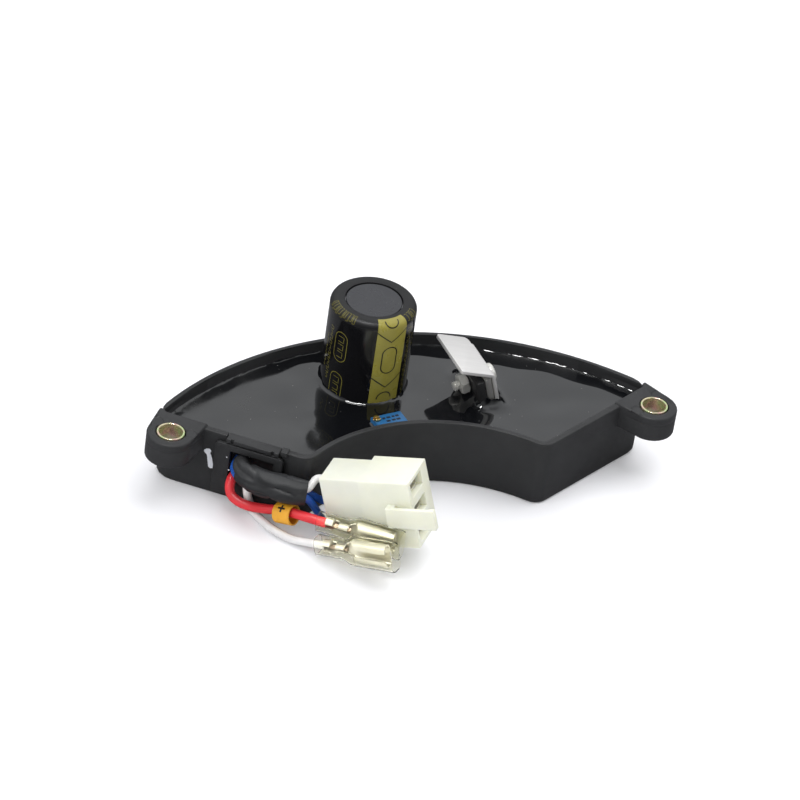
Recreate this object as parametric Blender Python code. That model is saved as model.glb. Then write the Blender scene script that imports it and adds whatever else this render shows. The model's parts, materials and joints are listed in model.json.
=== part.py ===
"""Automatic voltage regulator of a portable generator: a potted arc-shaped tray with its leads.

The tray bolts to the alternator's end frame by two lugs. The frame's X runs from lug to lug,
Y from the hollow front arc to the round back arc and Z up from the tray's underside.
"""

from math import asin, atan2, cos, hypot, pi, radians, sin, sqrt, tan

import bmesh
import bpy
from mathutils import Euler, Vector

MM = 0.001
GAP = 0.3 * MM  # clearance between pieces that touch on the real object
THROUGH = 5 * MM  # how far a cutter runs past the face that it opens

# Tray: outline
BACK_ARC_R = 100.4 * MM  # outer face of the round back wall
BACK_MIDDLE = 42.3 * MM  # that face's middle, behind the line through the bolt holes
BACK_ARC_Y = BACK_MIDDLE - BACK_ARC_R
FRONT_ARC_R = 48.9 * MM  # outer face of the hollow front wall
FRONT_MIDDLE = -1.4 * MM  # that face's middle, from the line through the bolt holes
FRONT_ARC_Y = FRONT_MIDDLE - FRONT_ARC_R
END_SLOPE = radians(32.3)  # end walls against the X axis
END_DISTANCE = 31.75 * MM  # end wall's outer face, from the middle of the hole line
FRONT_CORNER_R = 4.5 * MM
BACK_CORNER_R = 5.5 * MM
POCKET_CORNER_R = 1.5 * MM  # pocket's back corners

# Tray: walls and heights
RIM_HEIGHT = 21.3 * MM
FLOOR = 1.8 * MM
END_WALL = 1.9 * MM
ARC_WALL = 1.5 * MM
FOOT_ROUND = 0.8 * MM  # rounding of the bottom edge
RIM_ROUND = 0.25 * MM
BOSS_R = 2.6 * MM  # pads that carry the board
BOSS_HEIGHT = 1.2 * MM
BOSS_INSET = 9 * MM  # from the back wall's outer face
BOSS_ANGLES = (-32, -12, 12, 32)  # degrees round the back arc's centre

# Lugs and their steel bushings
HOLE_X = 71.2 * MM
LUG_R = 6.8 * MM
LUG_FLARE = 1.5 * MM  # how much wider the lug's front side gets where it meets the wall
LUG_RISE = 0.6 * MM  # lug's top above the rim
LUG_THICK = 8.0 * MM
LUG_ROUND = 0.4 * MM
LUG_ROOT = 1.0 * MM  # how far lug and gate stop run past the wall's inner face, before the pocket
BUSHING_R = 4.0 * MM
BUSHING_WALL = 0.65 * MM
BUSHING_LIP = 0.25 * MM  # lip above and below the lug
MARK_R = 1.9 * MM  # round ejector marks on the lug's top
MARK_DEPTH = 0.25 * MM
MARK_PLACES = ((5.2, -3.0), (-5.4, -1.6))  # mm along and out from the hole

# Wire gate in the left end wall, measured along the wall from the foot of the normal
# that runs through the middle of the hole line
GATE_FROM = 29.8 * MM
GATE_TO = 45.3 * MM
GATE_SILL = 2.0 * MM  # bottom of the slot in the wall
GATE_PROUD = 1.5 * MM  # flange's outer face, out from the wall
GATE_FLANGE = 1.2 * MM
GATE_FLANGE_FROM = 28.3 * MM
GATE_FLANGE_TO = 48.3 * MM
GATE_FLANGE_TOP = RIM_HEIGHT - 1.8 * MM
GATE_CORNER_R = 1.0 * MM
GATE_GROOVE = 0.6 * MM  # groove between flange and top strip
GATE_GROOVE_DEPTH = 0.8 * MM
WINDOW_FROM = 30.8 * MM
WINDOW_TO = 43.8 * MM
WINDOW_TOP = GATE_FLANGE_TOP - 2.0 * MM
WINDOW_BOTTOM = WINDOW_TOP - 10.1 * MM
NOTCH = 0.9 * MM  # snap notches in the top strip
NOTCH_DEPTH = 0.7 * MM
STOP_LENGTH = 2.0 * MM  # nib on the rim beside the gate
STOP_RISE = 0.5 * MM

# Resin and board
RESIN_BELOW_RIM = 4.0 * MM
BOARD_THICK = 1.6 * MM
BOARD_INSET = 1.5 * MM  # resin round the board's edge

# Electrolytic capacitor
CAP_X = -8.8 * MM
CAP_Y = 25.8 * MM
CAP_R = 12.5 * MM
CAP_TOP = 45.5 * MM
CAP_SKIN = 0.4 * MM
CAP_SHOULDER = 1.5 * MM  # rounding of the top edge
CAP_LIFT = 0.6 * MM  # can's base above the board
CAP_DISC_R = 8.35 * MM  # opening of the skin round the top disc
CAP_DISC = 0.8 * MM
CAP_DISC_DEPTH = 0.4 * MM  # top disc below the shoulder
CAP_PIN_PITCH = 10.0 * MM
CAP_PIN_WIDE = 1.5 * MM
CAP_PIN_THICK = 0.8 * MM
PIN_PAST_BOARD = 0.8 * MM

# Multi-turn trimmer
TRIMMER_X = -6.5 * MM
TRIMMER_Y = 4.15 * MM
TRIMMER_YAW = radians(14)
TRIMMER_LONG = 9.53 * MM
TRIMMER_WIDE = 4.83 * MM
TRIMMER_TALL = 10.0 * MM
TRIMMER_PROUD = 1.7 * MM  # above the resin
TRIMMER_PIN = 0.6 * MM
TRIMMER_PIN_PITCH = 2.54 * MM
SCREW_R = 1.1 * MM
SCREW_EDGE = 1.3 * MM  # screw's axis from the body's edges
SCREW_PROUD = 0.5 * MM
SCREW_DEEP = 1.6 * MM
SLOT_WIDE = 0.5 * MM
SLOT_DEEP = 0.6 * MM

# Heat-sink bracket, from the front outer corner of its bend
BRACKET_X = 25.2 * MM
BRACKET_Y = 9.7 * MM
BRACKET_PROUD = 11.0 * MM  # above the resin
BRACKET_YAW = radians(8.8)
BRACKET_LEAN = radians(16)
BRACKET_LONG = 18.7 * MM
BRACKET_THICK = 1.0 * MM
BRACKET_FLANGE = 11.3 * MM
LEG_PROUD = 6.6 * MM  # leg's length, more than the resin's depth over the board
BRACKET_BEND = radians(123)  # angle between flange and leg
BRACKET_BEND_R = 1.4 * MM  # outside of the bend
BRACKET_CORNER_R = 1.6 * MM

# Power transistor, bolted to the leg
CASE_WIDE = 15.6 * MM
CASE_PROUD = 7.2 * MM  # case's height, more than the resin's depth over the board
CASE_BELOW_BEND = 0.9 * MM
PLATE_THICK = 1.9 * MM
PLATE_MARGIN = 0.5 * MM  # case beside the backplate, at each side
CASE_THICK = 2.6 * MM
CASE_CHAMFER = 0.5 * MM
BOLT_BELOW_TOP = 4.6 * MM
BOLT_R = 1.45 * MM
BOLT_HEAD_R = 2.8 * MM
BOLT_HEAD = 2.0 * MM
BOLT_HEAD_EDGE = 0.6  # height of the head's straight edge and width of its flat top, as shares
BOLT_PAST_NUT = 2.0 * MM
NUT_FLATS = 5.5 * MM
NUT_THICK = 2.4 * MM
LEAD_WIDE = 1.2 * MM
LEAD_THICK = 0.6 * MM
LEAD_PITCH = 5.45 * MM

# Pieces inside the resin
RESISTOR = (22.0 * MM, 8.0 * MM, 8.0 * MM)
RESISTOR_AT = (-40.0 * MM, 18.0 * MM)
FILM_CAP = (13.0 * MM, 6.0 * MM, 9.5 * MM)
FILM_CAP_AT = (-33.0 * MM, 0.0)
SMALL_CASE_R = 2.4 * MM
SMALL_CASE_TALL = 4.8 * MM
SMALL_CASE_AT = (12.0 * MM, 21.0 * MM)
DIODE_R = 2.65 * MM
DIODE_LONG = 9.5 * MM
DIODE_PITCH = 7.0 * MM
DIODES_AT = (36.0 * MM, 11.5 * MM)
DIODES = 4

# Three-way connector: local X from its wire side to its mating side, Z up its tall side
CONN_X = -34.1 * MM
CONN_Y = -22.7 * MM
CONN_Z = 20.15 * MM
CONN_YAW = radians(-35.3)
CONN_PITCH = radians(17.9)
CONN_LONG = 27.2 * MM
CONN_REAR = 11.9 * MM
CONN_DEEP = 13.8 * MM
CONN_TALL = 21.2 * MM
CONN_STEP = 0.8 * MM  # rear part's viewer side, back from the front part's
CONN_STEP_BACK = 1.6 * MM
CONN_STEP_TOP = 0.4 * MM
CONN_ROUND = 0.3 * MM
CONN_OVERLAP = 1.0 * MM  # how far the rear part runs into the front part
CAVITIES = 3
CAVITY_PITCH = 7.1 * MM
CAVITY_FIRST = 3.5 * MM
CAVITY_FROM = 1.6 * MM
CAVITY_WIDE = 8.0 * MM
CAVITY_TALL = 4.4 * MM
LATCH_FROM = 20.0 * MM
LATCH_TO = 34.5 * MM
LATCH_TOP = 7.0 * MM
LATCH_WIDE = 6.2 * MM
LATCH_PROUD = 2.4 * MM
LATCH_THICK = 1.2 * MM
LATCH_ROOT = 2.4 * MM

# Receptacle terminals
METAL = 0.5 * MM
BLADE_WIDE = 7.0 * MM
BLADE_DEEP = 3.2 * MM
BLADE_LONG = 11.5 * MM
BLADE_MOUTH = 2.4 * MM  # gap between the curled edges
BARREL_R = 1.2 * MM
BARREL_LONG = 9.0 * MM
TERMINAL_IN = 1.5 * MM  # connector terminal's front end, back from the mating face

# Clear sleeves over the two loose terminals
SLEEVE_LONG = 25.0 * MM
SLEEVE_TAIL = 8.5 * MM
SLEEVE_SHOULDER = 3.0 * MM
SLEEVE_WALL = 0.5 * MM
SLEEVE_DEEP = 4.8 * MM
SLEEVE_TALL = 8.6 * MM
SLEEVE_TAIL_TALL = 5.4 * MM
SLEEVE_CORNER_R = 1.5 * MM
WIRE_IN_SLEEVE = 2.5 * MM
INTO_SLEEVE = (-3 * MM, 0, WIRE_IN_SLEEVE)  # lead's last places, along the sleeve from its tail
RED_SLEEVE = ((-33.3, -26.5, 8.4), -35.3, 2.5)  # tail's place in mm, yaw and pitch in degrees
WHITE_SLEEVE = ((-33.8, -30.7, 3.4), -44.0, 17.0)

# Leads. Routes are millimetres along the left end wall, out from it and up, laid out at the
# rim height below. Their heights keep their share of the rim's height.
ROUTE_RIM = 21.3 * MM
RED_D = 2.8 * MM
WHITE_D = 2.4 * MM
BUNDLE_D = 2.2 * MM
BUNDLE_STEP = 2.55 * MM  # between the three bundled wires' centres
RED_ROUTE = (
    (41.8, -1.9, 9.2), (41.9, 0.2, 9.2), (42.1, 2.4, 9.0), (41.9, 4.1, 7.5), (40.8, 5.3, 5.8),
    (38.4, 6.1, 4.9), (35.0, 6.5, 4.7), (31.4, 6.0, 4.8), (27.8, 5.7, 5.4), (24.6, 6.1, 6.3),
    (21.8, 7.2, 7.4),
)
WHITE_ROUTE = (
    (37.4, -1.9, 9.1), (37.4, 0.8, 9.2), (37.2, 2.9, 8.5), (36.7, 3.5, 6.2), (35.9, 3.4, 3.8),
    (34.7, 4.0, 1.8), (32.8, 5.4, 1.4), (30.5, 7.0, 1.4), (27.3, 8.9, 1.4), (23.8, 10.2, 1.4),
    (20.4, 11.0, 1.4),
)
BUNDLE_ROUTE = (
    (40.7, -1.9, 13.5), (40.7, 0.0, 13.5), (40.4, 2.2, 13.5), (39.0, 4.3, 13.6),
    (36.4, 5.5, 13.8), (33.0, 5.9, 13.9), (29.5, 5.9, 13.8), (26.0, 5.6, 13.6),
    (22.5, 5.0, 13.4), (19.6, 4.2, 13.2),
)
BUNDLE = (
    ("lead_sense_white", "white"), ("lead_blue_upper", "blue_wire"), ("lead_blue_lower", "blue_wire"),
)
SHRINK_FROM = 0.24  # share of the bundle route where the heat-shrink starts
SHRINK_BORE = 3.15 * MM
SHRINK_RADII = (3.6, 4.0, 4.1, 4.15, 4.1, 3.95, 3.6)  # mm, from gate to connector
MARKER_FROM = 0.56  # shares of the red lead's length between which the marker hangs
MARKER_TO = 0.70
MARKER_R = 3.0 * MM
MARKER_WALL = 0.6 * MM
MARKER_DROP = 0.65 * MM

# Facets
ARC_STEPS = 20
FRONT_STEPS = 14
FILLET_STEPS = 5
ROUND_STEPS = 24
CAP_STEPS = 48


# Heights and places that follow from the sizes above
BOARD_BOTTOM = FLOOR + BOSS_HEIGHT + GAP
BOARD_TOP = BOARD_BOTTOM + BOARD_THICK
RESIN_TOP = RIM_HEIGHT - RESIN_BELOW_RIM
RESIN_DEEP = RESIN_TOP - BOARD_TOP
TRIMMER_TOP = RESIN_TOP + TRIMMER_PROUD
BRACKET_Z = RESIN_TOP + BRACKET_PROUD
BRACKET_LEG = LEG_PROUD + RESIN_DEEP
CASE_TALL = CASE_PROUD + RESIN_DEEP
LUG_TOP = RIM_HEIGHT + LUG_RISE
LUG_BOTTOM = LUG_TOP - LUG_THICK
CAP_BASE = BOARD_TOP + CAP_LIFT
LEAD_SCALE = RIM_HEIGHT / ROUTE_RIM
FLANGE_TURN = pi - BRACKET_BEND  # how far the sheet turns at the bend
BEND_START = BRACKET_BEND_R * tan(FLANGE_TURN / 2)  # bend's tangent points, from the sharp corner
PLATE_FACE = -BRACKET_THICK - GAP
CASE_FACE = PLATE_FACE - PLATE_THICK - GAP
CASE_BACK = CASE_FACE - CASE_THICK
CASE_TOP = -CASE_BELOW_BEND
CASE_FOOT = CASE_TOP - CASE_TALL
BOLT_HEIGHT = CASE_TOP - BOLT_BELOW_TOP
BOLT_Y = CASE_WIDE / 2


# Scene and mesh helpers

def clear_scene():
    for item in list(bpy.data.objects):
        bpy.data.objects.remove(item, do_unlink=True)


def make_material(name, colour, roughness, metallic=0.0, alpha=1.0):
    """A plain Principled material with the part's own colour."""
    material = bpy.data.materials.new(name)
    material.use_nodes = True
    shader = material.node_tree.nodes["Principled BSDF"]
    shader.inputs["Base Color"].default_value = (*colour, 1.0)
    shader.inputs["Roughness"].default_value = roughness
    shader.inputs["Metallic"].default_value = metallic
    shader.inputs["Alpha"].default_value = alpha
    material.diffuse_color = (*colour, alpha)
    return material


def make_empty(name, location, rotation=(0.0, 0.0, 0.0), parent=None):
    empty = bpy.data.objects.new(name, None)
    empty.location = location
    empty.rotation_euler = Euler(rotation)
    empty.parent = parent
    bpy.context.collection.objects.link(empty)
    return empty


def finish_object(name, mesh, material, parent, location=(0.0, 0.0, 0.0), rotation=(0.0, 0.0, 0.0)):
    """Links the mesh as one object. Without a material it is a cutter or another helper."""
    thing = bpy.data.objects.new(name, mesh)
    bpy.context.collection.objects.link(thing)
    thing.location = location
    thing.rotation_euler = Euler(rotation)
    thing.parent = parent
    if material is None:
        thing.hide_render = True
        thing.display_type = "WIRE"
    elif not mesh.materials:
        mesh.materials.append(material)
        mesh.shade_smooth()
        mesh.set_sharp_from_angle(angle=radians(32))
    return thing


def loft(name, rings, tube=False):
    """A closed mesh through rings of equally many points. A tube joins its last ring to its first."""
    shape = bmesh.new()
    loops = [[shape.verts.new(point) for point in ring] for ring in rings]
    pairs = list(zip(loops, loops[1:]))
    if tube:
        pairs.append((loops[-1], loops[0]))
    else:
        shape.faces.new(loops[0])
        shape.faces.new(loops[-1])
    for lower, upper in pairs:
        for index in range(len(lower)):
            after = (index + 1) % len(lower)
            shape.faces.new((lower[index], lower[after], upper[after], upper[index]))
    bmesh.ops.recalc_face_normals(shape, faces=shape.faces)
    mesh = bpy.data.meshes.new(name)
    shape.to_mesh(mesh)
    shape.free()
    return mesh


def raise_outline(outline, height):
    return [Vector((point[0], point[1], height)) for point in outline]


def prism(name, outline, bottom, top):
    return loft(name, [raise_outline(outline, bottom), raise_outline(outline, top)])


def block(name, low, high):
    """A box between two corners."""
    outline = [(low[0], low[1]), (high[0], low[1]), (high[0], high[1]), (low[0], high[1])]
    return prism(name, outline, low[2], high[2])


def circle(radius, steps=ROUND_STEPS, centre=(0.0, 0.0)):
    turns = [2 * pi * step / steps for step in range(steps)]
    return [(centre[0] + radius * cos(turn), centre[1] + radius * sin(turn)) for turn in turns]


def turned(name, profile, steps=ROUND_STEPS, tube=False):
    """Revolves (radius, height) pairs about Z."""
    return loft(name, [raise_outline(circle(radius, steps), height) for radius, height in profile], tube)


def rounded_rectangle(width, depth, radius, centre=(0.0, 0.0), steps=4):
    """The outline of a rectangle with round corners."""
    points = []
    for quarter, (side_x, side_y) in enumerate(((1, 1), (-1, 1), (-1, -1), (1, -1))):
        corner = (centre[0] + side_x * (width / 2 - radius), centre[1] + side_y * (depth / 2 - radius))
        for step in range(steps + 1):
            turn = (quarter + step / steps) * pi / 2
            points.append((corner[0] + radius * cos(turn), corner[1] + radius * sin(turn)))
    return points


def lay_along_x(mesh):
    """Turns a mesh built up Z so that it runs along X, with its X pointing down."""
    for vertex in mesh.vertices:
        x, y, z = vertex.co
        vertex.co = (z, y, -x)
    return mesh


def boolean(target, operation, other):
    modifier = target.modifiers.new(other.name, "BOOLEAN")
    modifier.operation = operation
    modifier.object = other
    modifier.solver = "EXACT"


def cut(target, mesh, parent, location=(0.0, 0.0, 0.0), rotation=(0.0, 0.0, 0.0)):
    boolean(target, "DIFFERENCE", finish_object(mesh.name, mesh, None, parent, location, rotation))


def fuse(target, mesh, parent, location=(0.0, 0.0, 0.0), rotation=(0.0, 0.0, 0.0)):
    boolean(target, "UNION", finish_object(mesh.name, mesh, None, parent, location, rotation))


# Tray outline: one half is worked out and mirrored

def end_wall_point(along, out, side=1):
    """A point by its place along an end wall and out from its outer face. Side -1 is the left wall."""
    reach = END_DISTANCE + out
    x = cos(END_SLOPE) * along + sin(END_SLOPE) * reach
    return Vector((side * x, sin(END_SLOPE) * along - cos(END_SLOPE) * reach))


def corner_centre(end_reach, arc_y, arc_radius):
    """Where a line parallel to the right end wall meets a circle round (0, arc_y)."""
    from_line = -cos(END_SLOPE) * arc_y - end_reach
    along = sin(END_SLOPE) * arc_y + sqrt(arc_radius ** 2 - from_line ** 2)
    return end_wall_point(along, end_reach - END_DISTANCE)


def arc_points(centre, radius, start, end, steps):
    """Points from one angle to another, both ends included."""
    turns = [start + (end - start) * step / steps for step in range(steps + 1)]
    return [(centre[0] + radius * cos(turn), centre[1] + radius * sin(turn)) for turn in turns]


def tray_outline(end_inset, arc_inset, front_r, back_r):
    """The arc-shaped outline, moved inwards from the outer faces, with its four corners rounded."""
    reach = END_DISTANCE - end_inset
    front_radius = FRONT_ARC_R + arc_inset
    back_radius = BACK_ARC_R - arc_inset
    front = corner_centre(reach - front_r, FRONT_ARC_Y, front_radius + front_r)
    back = corner_centre(reach - back_r, BACK_ARC_Y, back_radius - back_r)
    front_turn = atan2(front.y - FRONT_ARC_Y, front.x)
    back_turn = atan2(back.y - BACK_ARC_Y, back.x)
    wall_turn = END_SLOPE - pi / 2
    half = arc_points((0, FRONT_ARC_Y), front_radius, pi / 2, front_turn, FRONT_STEPS)
    half += arc_points(front, front_r, front_turn - pi, wall_turn, FILLET_STEPS)[1:]
    half += arc_points(back, back_r, wall_turn, back_turn, FILLET_STEPS)
    half += arc_points((0, BACK_ARC_Y), back_radius, back_turn, pi / 2, ARC_STEPS)[1:]
    return half + [(-x, y) for x, y in reversed(half[1:-1])]


def body_middle():
    """Half way from the foremost to the rearmost point of the tray, on the hole line's Y."""
    heights = [point[1] for point in tray_outline(0, 0, FRONT_CORNER_R, BACK_CORNER_R)]
    return (min(heights) + max(heights)) / 2


def lug_point(along, out, side):
    """A point by its place along the end wall and out from it, both from the bolt hole."""
    x = cos(END_SLOPE) * along + sin(END_SLOPE) * out
    return side * (HOLE_X + x), sin(END_SLOPE) * along - cos(END_SLOPE) * out


def lug_outline(inset, side):
    """Round tip, straight back side and flared front side, run on into the pocket."""
    hole_out = sin(END_SLOPE) * HOLE_X - END_DISTANCE
    inner = -(hole_out + END_WALL + LUG_ROOT)
    radius = LUG_R - inset
    tip = [(radius * cos(pi * step / 14), radius * sin(pi * step / 14)) for step in range(15)]
    places = tip + [(-radius - LUG_FLARE, inner), (radius, inner)]
    return [lug_point(along, out, side) for along, out in places]


def lug_solid(side):
    levels = (
        (LUG_BOTTOM, LUG_ROUND), (LUG_BOTTOM + LUG_ROUND, 0),
        (LUG_TOP - LUG_ROUND, 0), (LUG_TOP, LUG_ROUND),
    )
    return loft("lug", [raise_outline(lug_outline(inset, side), z) for z, inset in levels])


# Housing

def make_tray(root, plastic):
    levels = (
        (0, FOOT_ROUND), (0.3 * FOOT_ROUND, 0.3 * FOOT_ROUND), (FOOT_ROUND, 0),
        (RIM_HEIGHT - RIM_ROUND, 0), (RIM_HEIGHT, RIM_ROUND),
    )
    rings = [
        raise_outline(tray_outline(inset, inset, FRONT_CORNER_R, BACK_CORNER_R), z)
        for z, inset in levels
    ]
    tray = finish_object("housing_tray", loft("housing_tray", rings), plastic, root)
    for side in (-1, 1):
        fuse(tray, lug_solid(side), root)
    add_gate_stop(tray, root)
    pocket = tray_outline(END_WALL, ARC_WALL, FRONT_CORNER_R - END_WALL, POCKET_CORNER_R)
    cut(tray, prism("tray_pocket", pocket, FLOOR, LUG_TOP + THROUGH), root)
    for angle in BOSS_ANGLES:
        turn = radians(90 - angle)
        reach = BACK_ARC_R - BOSS_INSET
        place = (reach * cos(turn), BACK_ARC_Y + reach * sin(turn))
        boss = prism("board_boss", circle(BOSS_R, 16, place), FLOOR / 2, FLOOR + BOSS_HEIGHT)
        fuse(tray, boss, root)
    for side in (-1, 1):
        cut_lug(tray, root, side)
    cut_gate_slot(tray, root)
    return tray


def cut_lug(tray, root, side):
    """Opens the lug for its bushing and sinks the two ejector marks."""
    hole = circle(BUSHING_R + GAP, 32, (side * HOLE_X, 0))
    cut(tray, prism("bushing_hole", hole, LUG_BOTTOM - THROUGH, LUG_TOP + THROUGH), root)
    for along, out in MARK_PLACES:
        place = lug_point(along * MM, out * MM, side)
        mark = prism("ejector_mark", circle(MARK_R, 16, place), LUG_TOP - MARK_DEPTH, LUG_TOP + THROUGH)
        cut(tray, mark, root)


def gate_frame(root):
    """An empty at the gate's foot: X along the wall to the lug, Y out of the tray."""
    middle = end_wall_point((GATE_FROM + GATE_TO) / 2, 0, -1)
    return make_empty("gate_frame", (*middle, 0), (0, 0, pi - END_SLOPE), root)


def gate_x(along):
    return along - (GATE_FROM + GATE_TO) / 2


def add_gate_stop(tray, root):
    stop_from = gate_x(GATE_FROM) - GAP - STOP_LENGTH
    low = (stop_from, -END_WALL - LUG_ROOT, RIM_HEIGHT - STOP_LENGTH / 2)
    high = (stop_from + STOP_LENGTH, GATE_PROUD / 2, RIM_HEIGHT + STOP_RISE)
    gate = gate_frame(root)
    fuse(tray, block("gate_stop", low, high), gate)


def cut_gate_slot(tray, root):
    half = (GATE_TO - GATE_FROM) / 2 + GAP
    low = (-half, -END_WALL - THROUGH, GATE_SILL)
    high = (half, THROUGH, RIM_HEIGHT + THROUGH)
    gate = gate_frame(root)
    cut(tray, block("gate_slot", low, high), gate)


def make_gate(root, plastic):
    """The slide-in gate that guides the leads: plate, outer flange, top strip and window."""
    frame = gate_frame(root)
    strip_bottom = GATE_FLANGE_TOP + GATE_GROOVE
    face = GATE_PROUD - GATE_GROOVE_DEPTH
    profile = (
        (-END_WALL, GATE_SILL + GAP), (face, GATE_SILL + GAP), (face, strip_bottom),
        (GATE_PROUD, strip_bottom), (GATE_PROUD, RIM_HEIGHT), (-END_WALL, RIM_HEIGHT),
    )
    ends = (gate_x(GATE_FROM), gate_x(GATE_TO))
    plate = loft("wire_gate", [[Vector((x, y, z)) for y, z in profile] for x in ends])
    gate = finish_object("wire_gate", plate, plastic, frame)
    fuse(gate, gate_flange(), frame)
    low = (gate_x(WINDOW_FROM), -END_WALL - THROUGH, WINDOW_BOTTOM)
    high = (gate_x(WINDOW_TO), GATE_PROUD + THROUGH, WINDOW_TOP)
    cut(gate, block("gate_window", low, high), frame)
    for x in (gate_x(GATE_FROM) + 2 * NOTCH, gate_x(GATE_TO) - 2 * NOTCH):
        low = (x - NOTCH / 2, GATE_PROUD - NOTCH_DEPTH, strip_bottom - GATE_GROOVE / 2)
        high = (x + NOTCH / 2, GATE_PROUD + THROUGH, RIM_HEIGHT + THROUGH)
        cut(gate, block("gate_notch", low, high), frame)
    return gate


def gate_flange():
    """The flange's outline with round corners, stood up against the wall."""
    width = GATE_FLANGE_TO - GATE_FLANGE_FROM
    middle = ((gate_x(GATE_FLANGE_FROM) + gate_x(GATE_FLANGE_TO)) / 2, (GATE_SILL + GATE_FLANGE_TOP) / 2)
    outline = rounded_rectangle(width, GATE_FLANGE_TOP - GATE_SILL, GATE_CORNER_R, middle, 3)
    rings = [[Vector((x, y, z)) for x, z in outline] for y in (GATE_PROUD - GATE_FLANGE, GATE_PROUD)]
    return loft("gate_flange", rings)


def make_bushings(root, steel):
    """Two thin steel tubes with a rounded lip at both ends."""
    bore = BUSHING_R - BUSHING_WALL
    edge = BUSHING_WALL / 3
    half = LUG_THICK / 2 + BUSHING_LIP
    profile = (
        (bore + edge, -half), (BUSHING_R - edge, -half), (BUSHING_R, edge - half),
        (BUSHING_R, half - edge), (BUSHING_R - edge, half), (bore + edge, half),
        (bore, half - edge), (bore, edge - half),
    )
    mesh = turned("lug_bushing", profile, 32, tube=True)
    for name, side in (("lug_bushing_left", -1), ("lug_bushing_right", 1)):
        place = (side * HOLE_X, 0, (LUG_BOTTOM + LUG_TOP) / 2)
        finish_object(name, mesh, steel, root, place)


# Resin, board and what the resin hides

def board_outline(extra):
    inset = GAP + BOARD_INSET - extra
    return tray_outline(END_WALL + inset, ARC_WALL + inset, FRONT_CORNER_R - END_WALL, POCKET_CORNER_R)


def make_resin(root, black):
    outline = tray_outline(END_WALL + GAP, ARC_WALL + GAP, FRONT_CORNER_R - END_WALL, POCKET_CORNER_R)
    mesh = prism("potting_resin", outline, FLOOR + GAP, RESIN_TOP)
    resin = finish_object("potting_resin", mesh, black, root)
    cut(resin, prism("board_room", board_outline(GAP), 0, BOARD_TOP + GAP), root)
    hole = circle(CAP_R + GAP, CAP_STEPS, (CAP_X, CAP_Y))
    cut(resin, prism("capacitor_room", hole, BOARD_TOP, RESIN_TOP + THROUGH), root)
    return resin


def make_board(root, green):
    mesh = prism("circuit_board", board_outline(0), BOARD_BOTTOM, BOARD_TOP)
    return finish_object("circuit_board", mesh, green, root)


def grown_block(name, low, high, margin=GAP):
    return block(name, [value - margin for value in low], [value + margin for value in high])


def bury_block(name, size, place, root, resin, material):
    """A box-shaped component on the board, with room for it in the resin."""
    base = BOARD_TOP + GAP
    low = (place[0] - size[0] / 2, place[1] - size[1] / 2, base)
    high = (place[0] + size[0] / 2, place[1] + size[1] / 2, base + size[2])
    finish_object(name, block(name, low, high), material, root)
    cut(resin, grown_block(name + "_room", (low[0], low[1], BOARD_TOP), high), root)


def make_buried_pieces(root, resin, paint):
    bury_block("power_resistor", RESISTOR, RESISTOR_AT, root, resin, paint["ceramic"])
    bury_block("film_capacitor", FILM_CAP, FILM_CAP_AT, root, resin, paint["film"])
    make_small_transistor(root, resin, paint["case"])
    for number in range(DIODES):
        make_diode(number, root, resin, paint["case"])


def make_small_transistor(root, resin, material):
    """A round case with one flat side."""
    base = BOARD_TOP + GAP
    flat = radians(50)
    outline = arc_points(SMALL_CASE_AT, SMALL_CASE_R, flat - pi / 2, 3 * pi / 2 - flat, 14)
    mesh = prism("control_transistor", outline, base, base + SMALL_CASE_TALL)
    finish_object("control_transistor", mesh, material, root)
    room = circle(SMALL_CASE_R + GAP, 16, SMALL_CASE_AT)
    cut(resin, prism("control_transistor_room", room, BOARD_TOP, base + SMALL_CASE_TALL + GAP), root)


def make_diode(number, root, resin, material):
    """A round diode lying on the board, across the row."""
    name = f"rectifier_diode_{number + 1}"
    x = DIODES_AT[0] + number * DIODE_PITCH
    z = BOARD_TOP + GAP + DIODE_R
    half = DIODE_LONG / 2
    mesh = turned(name, ((DIODE_R, -half), (DIODE_R, half)), 16)
    finish_object(name, mesh, material, root, (x, DIODES_AT[1], z), (pi / 2, 0, 0))
    low = (x - DIODE_R, DIODES_AT[1] - half, BOARD_TOP)
    high = (x + DIODE_R, DIODES_AT[1] + half, z + DIODE_R)
    cut(resin, grown_block(name + "_room", low, high), root)


# Capacitor

def make_capacitor(root, board, paint):
    """Can, shrunk-on skin and top disc, all turned round one upright axis, and its two pins."""
    axis = make_empty("capacitor_axis", (CAP_X, CAP_Y, 0), parent=root)
    skin_bore = CAP_R - CAP_SKIN
    can_r = skin_bore - GAP
    can_top = CAP_TOP - CAP_DISC_DEPTH - CAP_DISC - GAP
    finish_object(
        "capacitor_can", turned("capacitor_can", ((can_r, CAP_BASE), (can_r, can_top)), CAP_STEPS),
        paint["aluminium"], axis,
    )
    finish_object("capacitor_sleeve", capacitor_skin(skin_bore), paint["skin"], axis)
    disc_r = CAP_DISC_R - GAP
    disc_top = CAP_TOP - CAP_DISC_DEPTH
    disc = turned("capacitor_top_disc", ((disc_r, disc_top - CAP_DISC), (disc_r, disc_top)), CAP_STEPS)
    finish_object("capacitor_top_disc", disc, paint["disc"], axis)
    for number, side in enumerate((-1, 1)):
        x = side * CAP_PIN_PITCH / 2
        low = (x - CAP_PIN_WIDE / 2, -CAP_PIN_THICK / 2, BOARD_BOTTOM - PIN_PAST_BOARD)
        high = (x + CAP_PIN_WIDE / 2, CAP_PIN_THICK / 2, CAP_BASE - GAP)
        name = f"capacitor_pin_{number + 1}"
        finish_object(name, block(name, low, high), paint["tinned"], axis)
        cut(board, grown_block(name + "_hole", low, high), axis)


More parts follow.
